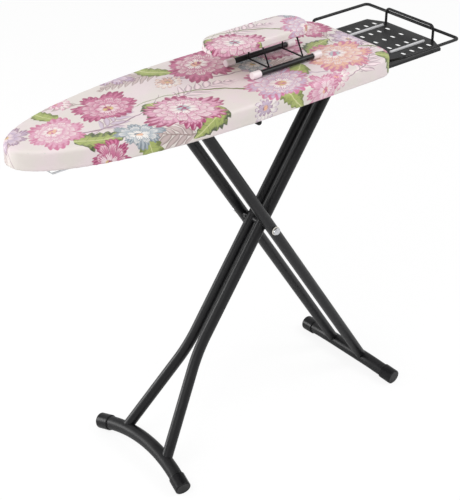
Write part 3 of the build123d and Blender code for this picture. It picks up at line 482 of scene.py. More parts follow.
# %% Dress the solids
soft_slots = ("printed_cotton", "felt", "cord")
slot_of = {row["node"]: row["material_slot"] for row in frame["record"]["subparts"]}
hard_solids = [node_name for node_name in frame["nodes"] if slot_of[node_name] not in soft_slots]
for node_name in hard_solids:
    materials = frame["nodes"][node_name].data.materials
    materials.clear()
    materials.append(finishes[slot_of[node_name]])
print("solids dressed:", len(hard_solids))

# %% [markdown]
# ## The printed cotton
# The cover is a plain-woven cotton, printed with loose, large blossoms on a pale pinkish
# cream. No picture is used. Each kind of motif is a shader group that draws one blossom, leaf,
# spray or stem at a given place on the cloth's flat map, over whatever colour comes in, so the
# print is a chain of groups, as a printer lays one motif over the last. The flat map is in
# metres, so sizes below are the real ones.

# %% [markdown]
# The renderer works out every node as soon as its inputs are ready, and keeps the results
# until they are used. In a long chain that would be all the motifs' masks at once, more than
# it can hold. So each motif adds a ten-millionth of the colour below to its coordinates:
# nothing moves that anyone could see, but the motifs are then drawn one after another.

# %% Local coordinates of a motif
motif_sockets = {
    "Cloth": "Vector", "Place": "Vector", "Along": "Vector", "Across": "Vector",
    "Size": 0.08, "Mottle": 0.5, "Under": "Color",
}
waiting = (1e-7, 1e-7, 1e-7)


def motif_axes(given):
    """Coordinates along and across a motif, in metres, once the colour under it is known."""
    cloth = vector_maths("MULTIPLY_ADD", given["Under"], waiting, given["Cloth"])
    here = vector_maths("SUBTRACT", cloth, given["Place"])
    return [vector_maths("DOT_PRODUCT", here, given[axis], name="Value") for axis in ("Along", "Across")]


def from_middle(along, across):
    """How far a place is from a motif's middle."""
    spot = output(along.tree, "ShaderNodeCombineXYZ", 0, {"X": along, "Y": across})
    return vector_maths("LENGTH", spot, name="Value")


def between(value, low=0.001, high=0.999):
    """A value kept between two others."""
    return maths("MINIMUM", maths("MAXIMUM", value, low), high)


# %% [markdown]
# ### Petals and blossoms
# A petal is worked out in polar coordinates: the angle says which petal a place is in and how
# far across it, and the distance says how far out. Cleft, teeth and a chance number of each
# petal move its outer edge. A blossom is two to five such rings, from the outside in.

# %% One ring of petals


def petal_ring_group():
    """A ring of petals round a middle: pale bodies, coloured tips and a fine line round each."""
    tree, given, out = new_group("petal_ring", {
        "Angle": 0.0, "Distance": 1.0, "Petals": 8.0, "Shift": 0.0, "Reach": 1.0, "Cleft": 0.3,
        "Ragged": 0.05, "Teeth": 3.0, "Under": "Color", "Tip": "Color", "Body": "Color", "Line": "Color",
    }, {"Color": "Color"})
    place = (given["Angle"] + given["Shift"]) * (1 / (2 * math.pi)) * given["Petals"]
    across = maths("ABSOLUTE", maths("FRACT", place) - 0.5) * 2.0
    number = maths("FLOOR", place) + given["Shift"] * 7.0
    chance = maths("FRACT", maths("SINE", number * 12.99) * 437.58)
    cleft = maths("POWER", across, 2.6) * given["Cleft"]
    teeth = maths("ABSOLUTE", maths("SINE", place * given["Teeth"] * math.pi))
    teeth = (1.0 - teeth) * given["Ragged"]
    short = cleft + teeth + chance * 0.14
    edge = given["Reach"] * (1.0 - short)
    part = given["Distance"] / edge
    inside = smooth_step(part, 1.03, 0.985)
    sway = maths("SINE", maths("MULTIPLY_ADD", part, 6.0, number))
    streak = maths("SINE", maths("MULTIPLY_ADD", place, 31.0, sway * 2.2))
    streak = maths("MULTIPLY_ADD", streak, 0.2, 0.5)
    flush = maths("MULTIPLY_ADD", streak - 0.5, 0.9, part)
    colour = mix_colour(smooth_step(flush, 0.66, 1.02), given["Body"], given["Tip"])
    veins = smooth_step(streak, 0.56, 0.66) * 0.35
    colour = mix_colour(veins, colour, given["Line"])
    gap = smooth_step(across, 0.80, 0.99)
    rim = smooth_step(part, 0.93, 0.99)
    line = maths("MAXIMUM", gap * 0.8, rim * 0.75)
    colour = mix_colour(line, colour, given["Line"])
    link(mix_colour(inside, given["Under"], colour), out["Color"])
    return tree


petal_ring = petal_ring_group()

# %% A blossom
petal_squash = 1.22
ring_lift = 0.34


def blossom_group(name, rings, heart_reach):
    """Rings of petals from the outside in, each a little nearer its far edge, and a heart."""
    tree, given, out = new_group(
        name,
        {**motif_sockets, "Outer": "Color", "Pale": "Color", "Line": "Color", "Heart": "Color"},
        {"Color": "Color"},
    )
    along, across = motif_axes(given)
    across = across * petal_squash
    colour = given["Under"]
    for petals, reach, cleft, ragged, teeth, shift, tip, body in rings:
        lifted = across - given["Size"] * ((1.0 - reach) * ring_lift)
        angle = maths("ARCTAN2", lifted, along)
        distance = from_middle(along, lifted) / given["Size"]
        colour = use_group(tree, petal_ring, {
            "Angle": angle + math.pi, "Distance": distance, "Petals": petals, "Shift": shift,
            "Reach": reach, "Cleft": cleft, "Ragged": ragged, "Teeth": teeth, "Under": colour,
            "Tip": given[tip], "Body": given[body], "Line": given["Line"],
        })["Color"]
    speckle = smooth_step(given["Mottle"], 0.46, 0.54)
    heart = mix_colour(speckle, given["Heart"], given["Line"])
    in_heart = smooth_step(distance, heart_reach, heart_reach * 0.7)
    link(mix_colour(in_heart, colour, heart), out["Color"])
    return tree


# a ring: petals, reach, cleft, raggedness, teeth, shift, ink of the tips, ink of the bodies
great_peony = blossom_group("great_peony", [
    (6.0, 1.00, 0.30, 0.12, 5.0, 0.0, "Line", "Outer"),
    (7.0, 0.84, 0.28, 0.10, 5.0, 0.6, "Outer", "Outer"),
    (12.0, 0.70, 0.26, 0.05, 2.0, 1.1, "Pale", "Outer"),
    (11.0, 0.55, 0.26, 0.05, 2.0, 1.9, "Pale", "Outer"),
    (8.0, 0.38, 0.28, 0.08, 3.0, 2.7, "Outer", "Pale"),
], heart_reach=0.17)
peony = blossom_group("peony", [
    (8.0, 1.00, 0.34, 0.10, 5.0, 0.0, "Line", "Outer"),
    (9.0, 0.76, 0.30, 0.06, 3.0, 0.5, "Pale", "Outer"),
    (6.0, 0.48, 0.32, 0.10, 3.0, 1.9, "Outer", "Pale"),
], heart_reach=0.16)
daisy = blossom_group("daisy", [
    (13.0, 1.00, 0.42, 0.05, 2.0, 0.2, "Outer", "Pale"),
    (9.0, 0.60, 0.45, 0.05, 2.0, 0.9, "Line", "Outer"),
], heart_reach=0.22)

# %% [markdown]
# ### Leaves, sprays and stems
# These start at their place and run along their own direction, so their coordinates are
# plain ones: how far along, and how far to the side. A leaf is wide where its outline says,
# cut into lobes. A spray repeats a leaflet along a twig. A stem is part of a circle.

# %% A leaf


def leaf_group():
    """A single leaf with lobes, a midrib and side veins; it starts at its place and runs on."""
    tree, given, out = new_group(
        "leaf",
        {**motif_sockets, "Width": 0.3, "Bend": 0.3, "Lobes": 5.0, "Bright": "Color", "Dark": "Color"},
        {"Color": "Color"},
    )
    along, across = motif_axes(given)
    along = along / given["Size"]
    across = across / given["Size"]
    across = across - maths("SINE", along * 3.1) * given["Bend"] * 0.35
    within = smooth_step(along, 0.0, 0.02) * smooth_step(along, 1.0, 0.98)
    safe = between(along)
    rise = maths("POWER", safe, 0.55) * (1.0 - safe)
    side = maths("ABSOLUTE", across)
    lobe = maths("ABSOLUTE", maths("FRACT", (along - side * 0.6) * given["Lobes"]) - 0.5)
    cut = maths("MULTIPLY_ADD", lobe, -0.55, 1.1)
    half = rise * cut * (given["Width"] * 2.3)
    part = side / maths("MAXIMUM", half, 0.0005)
    inside = smooth_step(part, 1.05, 0.95) * within
    shade = maths("MULTIPLY_ADD", given["Mottle"] - 0.5, 1.8, part)
    colour = mix_colour(smooth_step(shade, 0.35, 1.0), given["Bright"], given["Dark"])
    colour = mix_colour(smooth_step(lobe, 0.06, 0.02) * 0.5, colour, given["Dark"])
    colour = mix_colour(smooth_step(side, 0.018, 0.008) * 0.7, colour, linear(214, 214, 160))
    link(mix_colour(inside, given["Under"], colour), out["Color"])
    return tree


leaf = leaf_group()

# %% A spray of small leaves


def spray_group():
    """A curved twig with a row of small slanting leaves on each side."""
    tree, given, out = new_group("spray", {
        **motif_sockets, "Width": 0.3, "Bend": 0.4, "Leaflets": 7.0, "Bright": "Color", "Dark": "Color",
        "Strength": 1.0,
    }, {"Color": "Color"})
    along, across = motif_axes(given)
    along = along / given["Size"]
    across = across / given["Size"]
    across = across - along * along * given["Bend"]
    side = maths("ABSOLUTE", across)
    which = maths("SIGN", across) * 0.25
    slanted = along - side * 0.9
    cell = maths("ABSOLUTE", maths("FRACT", slanted * given["Leaflets"] + which) - 0.5)
    safe = between(slanted)
    longest = maths("POWER", safe, 0.3) * (1.05 - safe) * (given["Width"] * 1.3)
    out_along = maths("MINIMUM", side / longest, 1.0)
    plump = (1.0 - out_along) * maths("POWER", out_along, 0.5) * 1.15
    part = cell / maths("MAXIMUM", plump, 0.001)
    leaflet = smooth_step(part, 1.1, 0.9)
    leaflet = leaflet * (smooth_step(slanted, 0.0, 0.02) * smooth_step(slanted, 1.0, 0.97))
    twig = smooth_step(side, 0.016, 0.008) * smooth_step(along, -0.2, -0.18) * smooth_step(along, 1.0, 0.97)
    colour = mix_colour(smooth_step(part, 0.25, 1.0), given["Bright"], given["Dark"])
    mask = maths("MAXIMUM", leaflet, twig) * given["Strength"]
    link(mix_colour(mask, given["Under"], colour), out["Color"])
    return tree


spray = spray_group()

# %% A stem


def stem_group():
    """A thin arc that tapers, as a stem or a tendril."""
    tree, given, out = new_group(
        "stem", {**motif_sockets, "Span": 1.5, "Thick": 0.002, "Ink": "Color"}, {"Color": "Color"}
    )
    along, across = motif_axes(given)
    angle = maths("ARCTAN2", across, along) + math.pi
    off = maths("ABSOLUTE", from_middle(along, across) - given["Size"])
    done = angle / given["Span"]
    thick = (1.15 - done) * given["Thick"]
    part = off / maths("MAXIMUM", thick, 0.00005)
    inside = smooth_step(part, 1.2, 0.8) * smooth_step(done, 1.0, 0.98)
    link(mix_colour(inside, given["Under"], given["Ink"]), out["Color"])
    return tree


stem = stem_group()

# %% [markdown]
# ### Where the motifs lie
# The layout is a list, from the palest motifs at the back to the large blossoms on top. The
# nose end is at x = -0.54 and the tail at x = 0.35, and y runs from the near side to the far
# side. Crimson pinks lead, with lilac, blue grey and peach between them and olive leaves.

# %% Print inks
ground_ink = linear(223, 215, 209)
blotch_ink = linear(228, 213, 215)
inks = {
    "crimson": linear(158, 52, 100), "rose": linear(200, 112, 148), "pink": linear(222, 168, 190),
    "blush": linear(238, 218, 222), "cream": linear(244, 238, 232), "mauve": linear(156, 122, 140),
    "lilac": linear(200, 182, 204), "smoke": linear(178, 186, 192), "slate": linear(124, 136, 146),
    "peach": linear(230, 182, 152), "brown": linear(146, 122, 118), "dusk": linear(196, 176, 174),
    "olive": linear(112, 122, 60), "lime": linear(164, 176, 96), "moss": linear(66, 78, 48),
    "gold": linear(214, 182, 120),
}
back_sprays = [
    # x, y, turn in degrees, length, width, bend, leaflets, bright ink, dark ink, strength
    (-0.49, 0.010, 160, 0.11, 0.40, 0.30, 7, "dusk", "brown", 0.9),
    (-0.33, 0.075, 150, 0.15, 0.32, -0.30, 8, "dusk", "brown", 0.9),
    (-0.36, -0.050, 15, 0.14, 0.36, 0.40, 7, "lilac", "mauve", 0.8),
    (-0.10, 0.100, 165, 0.16, 0.30, 0.25, 9, "dusk", "brown", 0.9),
    (-0.17, -0.030, 20, 0.15, 0.38, -0.35, 7, "blush", "mauve", 0.9),
    (0.10, 0.145, 355, 0.16, 0.30, -0.30, 9, "dusk", "brown", 0.9),
    (0.14, -0.100, 150, 0.15, 0.34, -0.25, 8, "lilac", "mauve", 0.8),
    (0.29, 0.020, 80, 0.14, 0.38, 0.30, 8, "dusk", "brown", 0.9),
    (0.22, -0.150, 20, 0.14, 0.36, 0.30, 7, "blush", "mauve", 0.9),
    (-0.20, -0.160, 170, 0.15, 0.34, -0.30, 8, "dusk", "brown", 0.9),
    (-0.06, 0.170, 20, 0.14, 0.34, 0.30, 8, "lilac", "mauve", 0.8),
    (0.04, 0.020, 320, 0.14, 0.34, 0.30, 8, "dusk", "brown", 0.9),
]
stems = [
    # x and y of the arc's middle, turn, radius, span in radians, thickness, ink
    (-0.33, 0.17, 60, 0.22, 1.3, 0.0024, "mauve"),
    (-0.20, -0.24, 215, 0.24, 1.2, 0.0030, "olive"),
    (0.04, 0.20, 40, 0.20, 1.4, 0.0026, "mauve"),
    (0.20, -0.22, 200, 0.20, 1.5, 0.0028, "olive"),
    (-0.46, -0.10, 250, 0.13, 1.6, 0.0022, "mauve"),
    (0.36, 0.10, 130, 0.14, 1.5, 0.0024, "rose"),
]
leaves = [
    # x, y, turn, length, width, bend, lobes, bright ink, dark ink
    (-0.400, 0.040, 100, 0.080, 0.30, 0.3, 6, "lime", "olive"),
    (-0.430, -0.060, 345, 0.115, 0.34, -0.3, 7, "lime", "moss"),
    (-0.250, 0.055, 200, 0.110, 0.24, 0.4, 7, "lime", "olive"),
    (-0.215, -0.010, 250, 0.105, 0.40, 0.2, 6, "lime", "moss"),
    (-0.235, 0.120, 60, 0.090, 0.28, -0.3, 5, "lime", "olive"),
    (-0.120, -0.105, 215, 0.110, 0.34, 0.3, 7, "lime", "moss"),
    (-0.090, 0.085, 120, 0.105, 0.24, 0.4, 7, "lime", "olive"),
    (0.020, -0.100, 300, 0.110, 0.30, -0.3, 7, "lime", "olive"),
    (0.075, 0.055, 150, 0.100, 0.30, 0.4, 6, "lime", "moss"),
    (0.150, -0.050, 200, 0.110, 0.28, 0.3, 7, "lime", "olive"),
    (0.170, 0.090, 80, 0.090, 0.30, -0.4, 6, "lime", "olive"),
    (0.200, -0.020, 20, 0.100, 0.30, 0.3, 7, "lime", "moss"),
    (0.300, 0.085, 50, 0.090, 0.28, 0.3, 6, "lime", "olive"),
    (0.310, -0.110, 320, 0.100, 0.32, -0.3, 6, "lime", "moss"),
    (-0.310, -0.130, 270, 0.090, 0.32, 0.3, 6, "lime", "olive"),
]
blossoms = [
    # group, x, y, turn, radius, outer ink, pale ink, line ink, heart ink
    ("peony", -0.515, 0.030, 20, 0.050, "lilac", "blush", "mauve", "gold"),
    ("daisy", -0.360, 0.105, 80, 0.038, "pink", "cream", "rose", "gold"),
    ("peony", -0.310, -0.105, 140, 0.056, "smoke", "cream", "slate", "peach"),
    ("daisy", -0.125, 0.050, 10, 0.036, "peach", "cream", "mauve", "gold"),
    ("peony", 0.075, 0.010, 60, 0.052, "smoke", "cream", "slate", "gold"),
    ("daisy", 0.185, 0.125, 200, 0.040, "peach", "cream", "rose", "gold"),
    ("peony", 0.330, -0.010, 100, 0.054, "lilac", "blush", "mauve", "gold"),
    ("daisy", 0.165, -0.150, 40, 0.042, "pink", "cream", "rose", "peach"),
    ("daisy", -0.030, -0.165, 40, 0.040, "lilac", "cream", "mauve", "peach"),
    ("peony", 0.225, 0.190, 10, 0.050, "smoke", "cream", "slate", "peach"),
    ("peony", -0.200, 0.155, 100, 0.062, "lilac", "blush", "mauve", "gold"),
    ("peony", 0.120, -0.165, 250, 0.058, "pink", "blush", "rose", "peach"),
    ("peony", -0.385, -0.145, 90, 0.058, "rose", "blush", "crimson", "gold"),
    ("peony", 0.385, -0.100, 0, 0.056, "pink", "blush", "rose", "peach"),
    ("peony", 0.375, 0.110, 40, 0.056, "rose", "blush", "crimson", "gold"),
    ("great_peony", -0.430, -0.010, 30, 0.074, "pink", "cream", "rose", "peach"),
    ("great_peony", -0.295, 0.035, 190, 0.080, "rose", "blush", "crimson", "gold"),
    ("great_peony", -0.185, -0.085, 340, 0.098, "pink", "cream", "crimson", "smoke"),
    ("great_peony", -0.015, 0.075, 20, 0.096, "rose", "cream", "crimson", "peach"),
    ("great_peony", 0.045, -0.085, 200, 0.092, "lilac", "cream", "rose", "gold"),
    ("great_peony", 0.155, 0.060, 150, 0.084, "pink", "blush", "crimson", "gold"),
    ("great_peony", 0.245, -0.070, 10, 0.094, "peach", "cream", "rose", "smoke"),
    ("great_peony", 0.280, 0.100, 300, 0.078, "rose", "cream", "crimson", "gold"),
]
blossom_kinds = {"great_peony": great_peony, "peony": peony, "daisy": daisy}
motifs = [
    *((spray, row, ("Width", "Bend", "Leaflets", "Bright", "Dark", "Strength")) for row in back_sprays),
    *((stem, row, ("Span", "Thick", "Ink")) for row in stems),
    *((leaf, row, ("Width", "Bend", "Lobes", "Bright", "Dark")) for row in leaves),
    *((blossom_kinds[kind], row, ("Outer", "Pale", "Line", "Heart")) for kind, *row in blossoms),
]
print("motifs in the print:", len(motifs))

# %% [markdown]
# ### Weave and cloth
# Close by, the cotton shows its threads: over and under in turn, with slubs where a thread is
# thicker. The weave only lifts the surface and dulls the print a little. The print itself
# gets a slight waver, as if drawn by hand, and a faint blotchy ground.

# %% Weave


def weave_group():
    """A plain weave: threads over and under in turn, with slubs."""
    tree, given, out = new_group(
        "plain_weave", {"Cloth": "Vector", "Threads": 1700.0}, {"Height": "Float", "Slub": "Float"}
    )
    axes = values_of(tree, add_node(tree, "ShaderNodeSeparateXYZ", {"Vector": given["Cloth"]}).outputs)
    turn = given["Threads"] * math.pi
    warp = maths("SINE", axes["X"] * turn)
    weft = maths("SINE", axes["Y"] * turn)
    crossing = warp * weft
    stretched = output(
        tree, "ShaderNodeMapping", 0, {"Vector": given["Cloth"], "Scale": (40.0, 900.0, 1.0)}
    )
    slub = noise(stretched, 1.0, 2.0)
    link(maths("MULTIPLY_ADD", slub, 0.8, crossing), out["Height"])
    link(slub, out["Slub"])
    return tree


weave = weave_group()

# %% The printed material
hand_waver = 0.014
slub_fading = 0.12


def printed_cotton(name, moved, shrink):
    """Cotton with the print on it. moved puts the print elsewhere, shrink makes it smaller."""
    material, tree, shader = new_material(
        name, Roughness=0.5, Sheen_Weight=0.25, Sheen_Roughness=0.4, Specular_IOR_Level=0.5
    )
    flat = output(tree, "ShaderNodeUVMap", 0, uv_map="flat cloth")
    cloth = output(tree, "ShaderNodeMapping", 0, {
        "Vector": flat, "Location": (*moved, 0.0), "Scale": (shrink, shrink, 1.0),
    })
    waver = output(tree, "ShaderNodeTexNoise", "Color", {"Vector": cloth, "Scale": 30.0, "Detail": 2.0})
    waver = vector_maths("SUBTRACT", waver, (0.5, 0.5, 0.5))
    waver = output(tree, "ShaderNodeVectorMath", 0, {0: waver, "Scale": hand_waver}, operation="SCALE")
    drawn = vector_maths("ADD", cloth, waver)
    mottle = noise(cloth, 110.0, 2.0)
    blotch = smooth_step(noise(cloth, 9.0, 3.0), 0.42, 0.62)
    colour = mix_colour(blotch, ground_ink, blotch_ink)
    for group, (x, y, turn, size, *numbers), sockets in motifs:
        angle = math.radians(turn)
        colour = use_group(tree, group, {
            "Cloth": drawn, "Place": (x, y, 0.0), "Along": (math.cos(angle), math.sin(angle), 0.0),
            "Across": (-math.sin(angle), math.cos(angle), 0.0), "Size": size, "Mottle": mottle,
            "Under": colour, **{socket: inks.get(number, number) for socket, number in zip(sockets, numbers)},
        })["Color"]
    threads = use_group(tree, weave, {"Cloth": flat})
    faded = smooth_step(threads["Slub"], 0.45, 0.75) * slub_fading
    colour = mix_colour(faded, colour, ground_ink)
    link(maths("MULTIPLY_ADD", threads["Slub"], 0.16, 0.36), shader.inputs["Roughness"])
    colour_and_relief(shader, colour, threads["Height"], distance=0.00015, strength=0.35)
    return material


board_cotton = printed_cotton("printed_cotton", moved=(0.0, 0.0), shrink=1.0)
sleeve_cotton = printed_cotton("printed_cotton_sleeve", moved=(-0.16, -0.035), shrink=1.25)
print("nodes in the printed cotton:", len(board_cotton.node_tree.nodes))

# %% [markdown]
# ### Felt and cord
# The felt only shows as a soft edge under the hem, and the cord is inside it. Both are plain:
# one noise or one wave gives the fibres or the braid, for the colour and for the relief.

# %% Felt and cord


def fibre_finish(name, fibres_of, dark, pale, roughness, sheen, distance, strength):
    """A fibrous material. fibres_of gives its pattern and how far that shows in the colour."""
    material, tree, shader = new_material(name, Roughness=roughness, Sheen_Weight=sheen)
    fibres, shown = fibres_of(object_place(tree))
    colour_and_relief(shader, mix_colour(shown, dark, pale), fibres, distance, strength)
    return material


def felt_fibres(place):
    """Short, tangled fibres."""
    fibres = noise(place, 420.0, 6.0, Distortion=1.5)
    return fibres, smooth_step(fibres, 0.35, 0.7)


def braid_fibres(place):
    """Slanting bands, as the strands of a braid."""
    bands = {"Vector": place, "Scale": 180.0, "Distortion": 1.0, "Detail": 1.0}
    braid = output(place.tree, "ShaderNodeTexWave", "Fac", bands)
    return braid, braid


felt_material = fibre_finish(
    "needled_felt", felt_fibres, linear(206, 203, 196), linear(226, 224, 218),
    roughness=0.95, sheen=0.4, distance=0.0005, strength=0.8,
)
cord_material = fibre_finish(
    "braided_cord", braid_fibres, linear(196, 190, 178), linear(226, 222, 212),
    roughness=0.85, sheen=0.3, distance=0.0003, strength=0.7,
)

# %% [markdown]
# ## The shape of the board, as cloth sees it
# The covers follow two outlines: the board's, with a half-ellipse nose, straight sides and
# round tail corners, and the sleeve board's, round at both ends. A piece of cloth is made
# from rings that copy such an outline at several insets and heights.

# %% Outlines
cover_low, cover_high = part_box("cover")
sleeve_low, sleeve_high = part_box("sleeve_cover")
nose_length = 0.510
tail_corner = 0.060
board_half = (cover_high[1] - cover_low[1]) / 2
shoulder = cover_low[0] + nose_length
sleeve_half = (sleeve_high[1] - sleeve_low[1]) / 2
sleeve_middle = (sleeve_high[1] + sleeve_low[1]) / 2
ring_step = 0.004


def even_ring(points, step):
    """The closed line through points, cut again into equal steps."""
    line = np.vstack([points, points[:1]])
    along = np.concatenate([[0.0], np.cumsum(np.linalg.norm(np.diff(line, axis=0), axis=1))])
    count = max(12, int(round(along[-1] / step)))
    wanted = np.linspace(0.0, along[-1], count, endpoint=False)
    return np.column_stack([np.interp(wanted, along, line[:, axis]) for axis in (0, 1)])


def arc_points(centre, half_x, half_y, start, end, count=120):
    """Points on an ellipse, from one angle to another, in degrees."""
    turn = np.radians(np.linspace(start, end, count))
    return np.column_stack([centre[0] + half_x * np.cos(turn), centre[1] + half_y * np.sin(turn)])


def board_ring(inset, step=ring_step):
    """The ironing board's outline, drawn in by inset, anticlockwise."""
    half = board_half - inset
    corner = tail_corner - inset
    corner_x = cover_high[0] - tail_corner
    corner_y = board_half - tail_corner
    return even_ring(np.vstack([
        arc_points((shoulder, 0.0), nose_length - inset, half, 90.0, 270.0, 700),
        arc_points((corner_x, -corner_y), corner, corner, -90.0, 0.0),
        arc_points((corner_x, corner_y), corner, corner, 0.0, 90.0),
    ]), step)


def sleeve_ring(inset, step=ring_step):
    """The sleeve board's outline, drawn in by inset, anticlockwise."""
    radius = sleeve_half - inset
    return even_ring(np.vstack([
        arc_points((sleeve_low[0] + sleeve_half, sleeve_middle), radius, radius, 90.0, 270.0),
        arc_points((sleeve_high[0] - sleeve_half, sleeve_middle), radius, radius, -90.0, 90.0),
    ]), step)


round_board = np.linalg.norm(np.diff(board_ring(0.0), axis=0), axis=1).sum()
print("board outline", round(float(round_board), 3), "m round")

# %% Measuring from an outline


class Outline:
    """Answers how far a place is inside an outline, and which way is out."""

    def __init__(self, ring):
        self.ring = ring
        along = np.roll(ring, -1, axis=0) - np.roll(ring, 1, axis=0)
        along /= np.linalg.norm(along, axis=1)[:, None]
        self.outward = np.column_stack([along[:, 1], -along[:, 0]])
        self.turning = np.linalg.norm(np.roll(along, -1, axis=0) - along, axis=1)
        self.tree = KDTree(len(ring))
        for number, (x, y) in enumerate(ring):
            self.tree.insert((x, y, 0.0), number)
        self.tree.balance()

    def measure(self, points):
        """For each point: its distance inside, the outward direction, and the outline's bend."""
        nearest = np.array([self.tree.find((x, y, 0.0))[1] for x, y in points[:, :2]])
        outward = self.outward[nearest]
        inside = -np.einsum("ij,ij->i", points[:, :2] - self.ring[nearest], outward)
        return inside, outward, self.turning[nearest]


outline_step = 0.001
board_outline = Outline(board_ring(0.0, outline_step))
sleeve_outline = Outline(sleeve_ring(0.0, outline_step))

# %% [markdown]
# ## Meshes in plain words
# Four small helpers do what every cloth piece needs: turn its modifiers into plain mesh, read
# its vertices as an array, put them back, and build a closed pad from rings.

# %% Helpers for meshes


def settle(piece):
    """Turns a piece's modifiers into plain mesh and takes them off."""
    bpy.context.view_layer.update()
    depsgraph = bpy.context.evaluated_depsgraph_get()
    mesh = bpy.data.meshes.new_from_object(
        piece.evaluated_get(depsgraph), preserve_all_data_layers=True, depsgraph=depsgraph
    )
    mesh.name = piece.name
    piece.modifiers.clear()
    old = piece.data
    piece.data = mesh
    bpy.data.meshes.remove(old)
    return piece


def mesh_of(shape, name):
    """A bmesh made into a mesh, and freed."""
    mesh = bpy.data.meshes.new(name)
    shape.to_mesh(mesh)
    shape.free()
    return mesh


def places(mesh):
    """A mesh's vertices as an array."""
    flat = np.empty(len(mesh.vertices) * 3)
    mesh.vertices.foreach_get("co", flat)
    return flat.reshape(-1, 3)


def set_places(mesh, points):
    """Puts an array of vertices back."""
    mesh.vertices.foreach_set("co", points.ravel())
    mesh.update()


def join_loops(shape, loops):
    """Faces between closed loops of vertices, one after another, and a cap on each end."""
    for lower, upper in zip(loops, loops[1:]):
        for i in range(len(lower)):
            after = (i + 1) % len(lower)
            shape.faces.new((lower[i], lower[after], upper[after], upper[i]))
    shape.faces.new(loops[0][::-1])
    shape.faces.new(loops[-1])
    bmesh.ops.recalc_face_normals(shape, faces=shape.faces)


def stacked_rings(name, ring_maker, profile):
    """A closed pad: rings at each (inset, height) of the profile, joined in order."""
    shape = bmesh.new()
    count = len(ring_maker(profile[0][0]))
    loops = []
    for inset, height in profile:
        ring = ring_maker(inset)
        spread = np.linspace(0, len(ring), count, endpoint=False)
        closed = np.vstack([ring, ring[:1]])
        x = np.interp(spread, np.arange(len(closed)), closed[:, 0])
        y = np.interp(spread, np.arange(len(closed)), closed[:, 1])
        loops.append([shape.verts.new((x[i], y[i], height)) for i in range(count)])
    join_loops(shape, loops)
    return link_mesh(name, mesh_of(shape, name))


# %% [markdown]
# ## Cloth, blown up a little and drawn tight
# A cover over felt is never a sharp-edged box. The way used here is the one that works for
# seat pads: a closed pad a little smaller than the real thing is remeshed into even squares,
# the cloth solver inflates it for a few frames, and the movement is capped so the cover
# stays on its board. A strip low on the skirt is given spare cloth, so that it gathers into
# small puckers where the drawcord pulls it under, as real covers do.

# %% Blowing up a pad
swell_frames = 20
# the top is held by the board from a little way in, and the hem's inner part by the cord
held_from, held_over = 0.004, 0.012
hem_held = 0.030
# heights on the skirt are shares of it, counted from the top
top_share, half_way, under_share = 0.1, 0.5, 0.8
gather_from, gather_over = 0.35, 0.5
# cloth gathers fully where the outline bends by this much per metre, and less where it's straight
full_bend, straight_gather = 6.0, 0.25
cotton_settings = {
    "quality": 6, "mass": 0.2, "tension_stiffness": 25.0, "compression_stiffness": 25.0,
    "shear_stiffness": 8.0, "bending_stiffness": 0.4, "use_pressure": True,
    "uniform_pressure_force": 4.0, "vertex_group_mass": "held", "pin_stiffness": 1.0,
    "vertex_group_shrink": "gathered", "shrink_min": 0.0,
}


def even_squares(piece, size):
    """Remeshes a closed piece into squares of that size."""
    remesh = piece.modifiers.new("remesh", "REMESH")
    remesh.mode = "VOXEL"
    remesh.voxel_size = size
    settle(piece)


def weigh(piece, group_name, weights):
    """A vertex group from an array of weights."""
    group = piece.vertex_groups.new(name=group_name)
    for number, weight in enumerate(weights):
        if weight > 0.0:
            group.add((number,), float(weight), "REPLACE")


def swell(piece, spare_cloth):
    """Runs the cloth solver on a piece whose groups are weighed."""
    cloth = piece.modifiers.new("cloth", "CLOTH")
    for setting, value in cotton_settings.items():
        setattr(cloth.settings, setting, value)
    cloth.settings.effector_weights.gravity = 0.0
    cloth.settings.shrink_max = -spare_cloth
    cloth.collision_settings.use_collision = False
    cloth.point_cache.frame_start = 1
    cloth.point_cache.frame_end = swell_frames
    for frame_number in range(1, swell_frames + 1):
        scene.frame_set(frame_number)
    settle(piece)
    scene.frame_set(1)


def blow_up(piece, outline, top, bottom, voxel, spare_cloth, cap_top, cap_side):
    """Remeshes a closed pad and lets the cloth solver swell it, with its movement capped."""
    even_squares(piece, voxel)
    start = places(piece.data)
    inside, _, bend = outline.measure(start)
    low = np.clip((top - start[:, 2]) / (top - bottom), 0.0, 1.0)
    bend_per_metre = bend / outline_step
    gathered = np.clip((low - gather_from) / gather_over, 0.0, 1.0)
    gathered *= np.clip(bend_per_metre / full_bend, straight_gather, 1.0)
    held = np.clip((inside - held_from) / held_over, 0.0, 1.0) * np.where(low < half_way, 1.0, 0.0)
    held = np.maximum(held, np.where((low > under_share) & (inside > hem_held), 1.0, 0.0))
    weigh(piece, "gathered", gathered)
    weigh(piece, "held", held)
    swell(piece, spare_cloth)
    moved = places(piece.data) - start
    cap = np.where(low < top_share, cap_top, cap_side)
    length = np.maximum(np.linalg.norm(moved, axis=1), 1e-9)
    moved *= (cap * np.tanh(length / cap) / length)[:, None]
    set_places(piece.data, start + moved)
    kept = float(np.linalg.norm(moved, axis=1).max())
    print(piece.name, f"swelled by up to {length.max() * 1000:.1f} mm, kept {kept * 1000:.1f}")


# %% [markdown]
# ### Drawn tight over its board
# The solver leaves the cloth a little slack. So each point is measured against the box that
# the cover is stretched over, with its rounded edges, and is pushed out where it has sunk in
# by more than the slack. The lower edge is brought to a sharp corner, as where a hem folds
# under, and the doubled points that this leaves are merged.

# %% Pushing cloth out to its box
hem_round = 0.0015
edge_proud = 0.0006


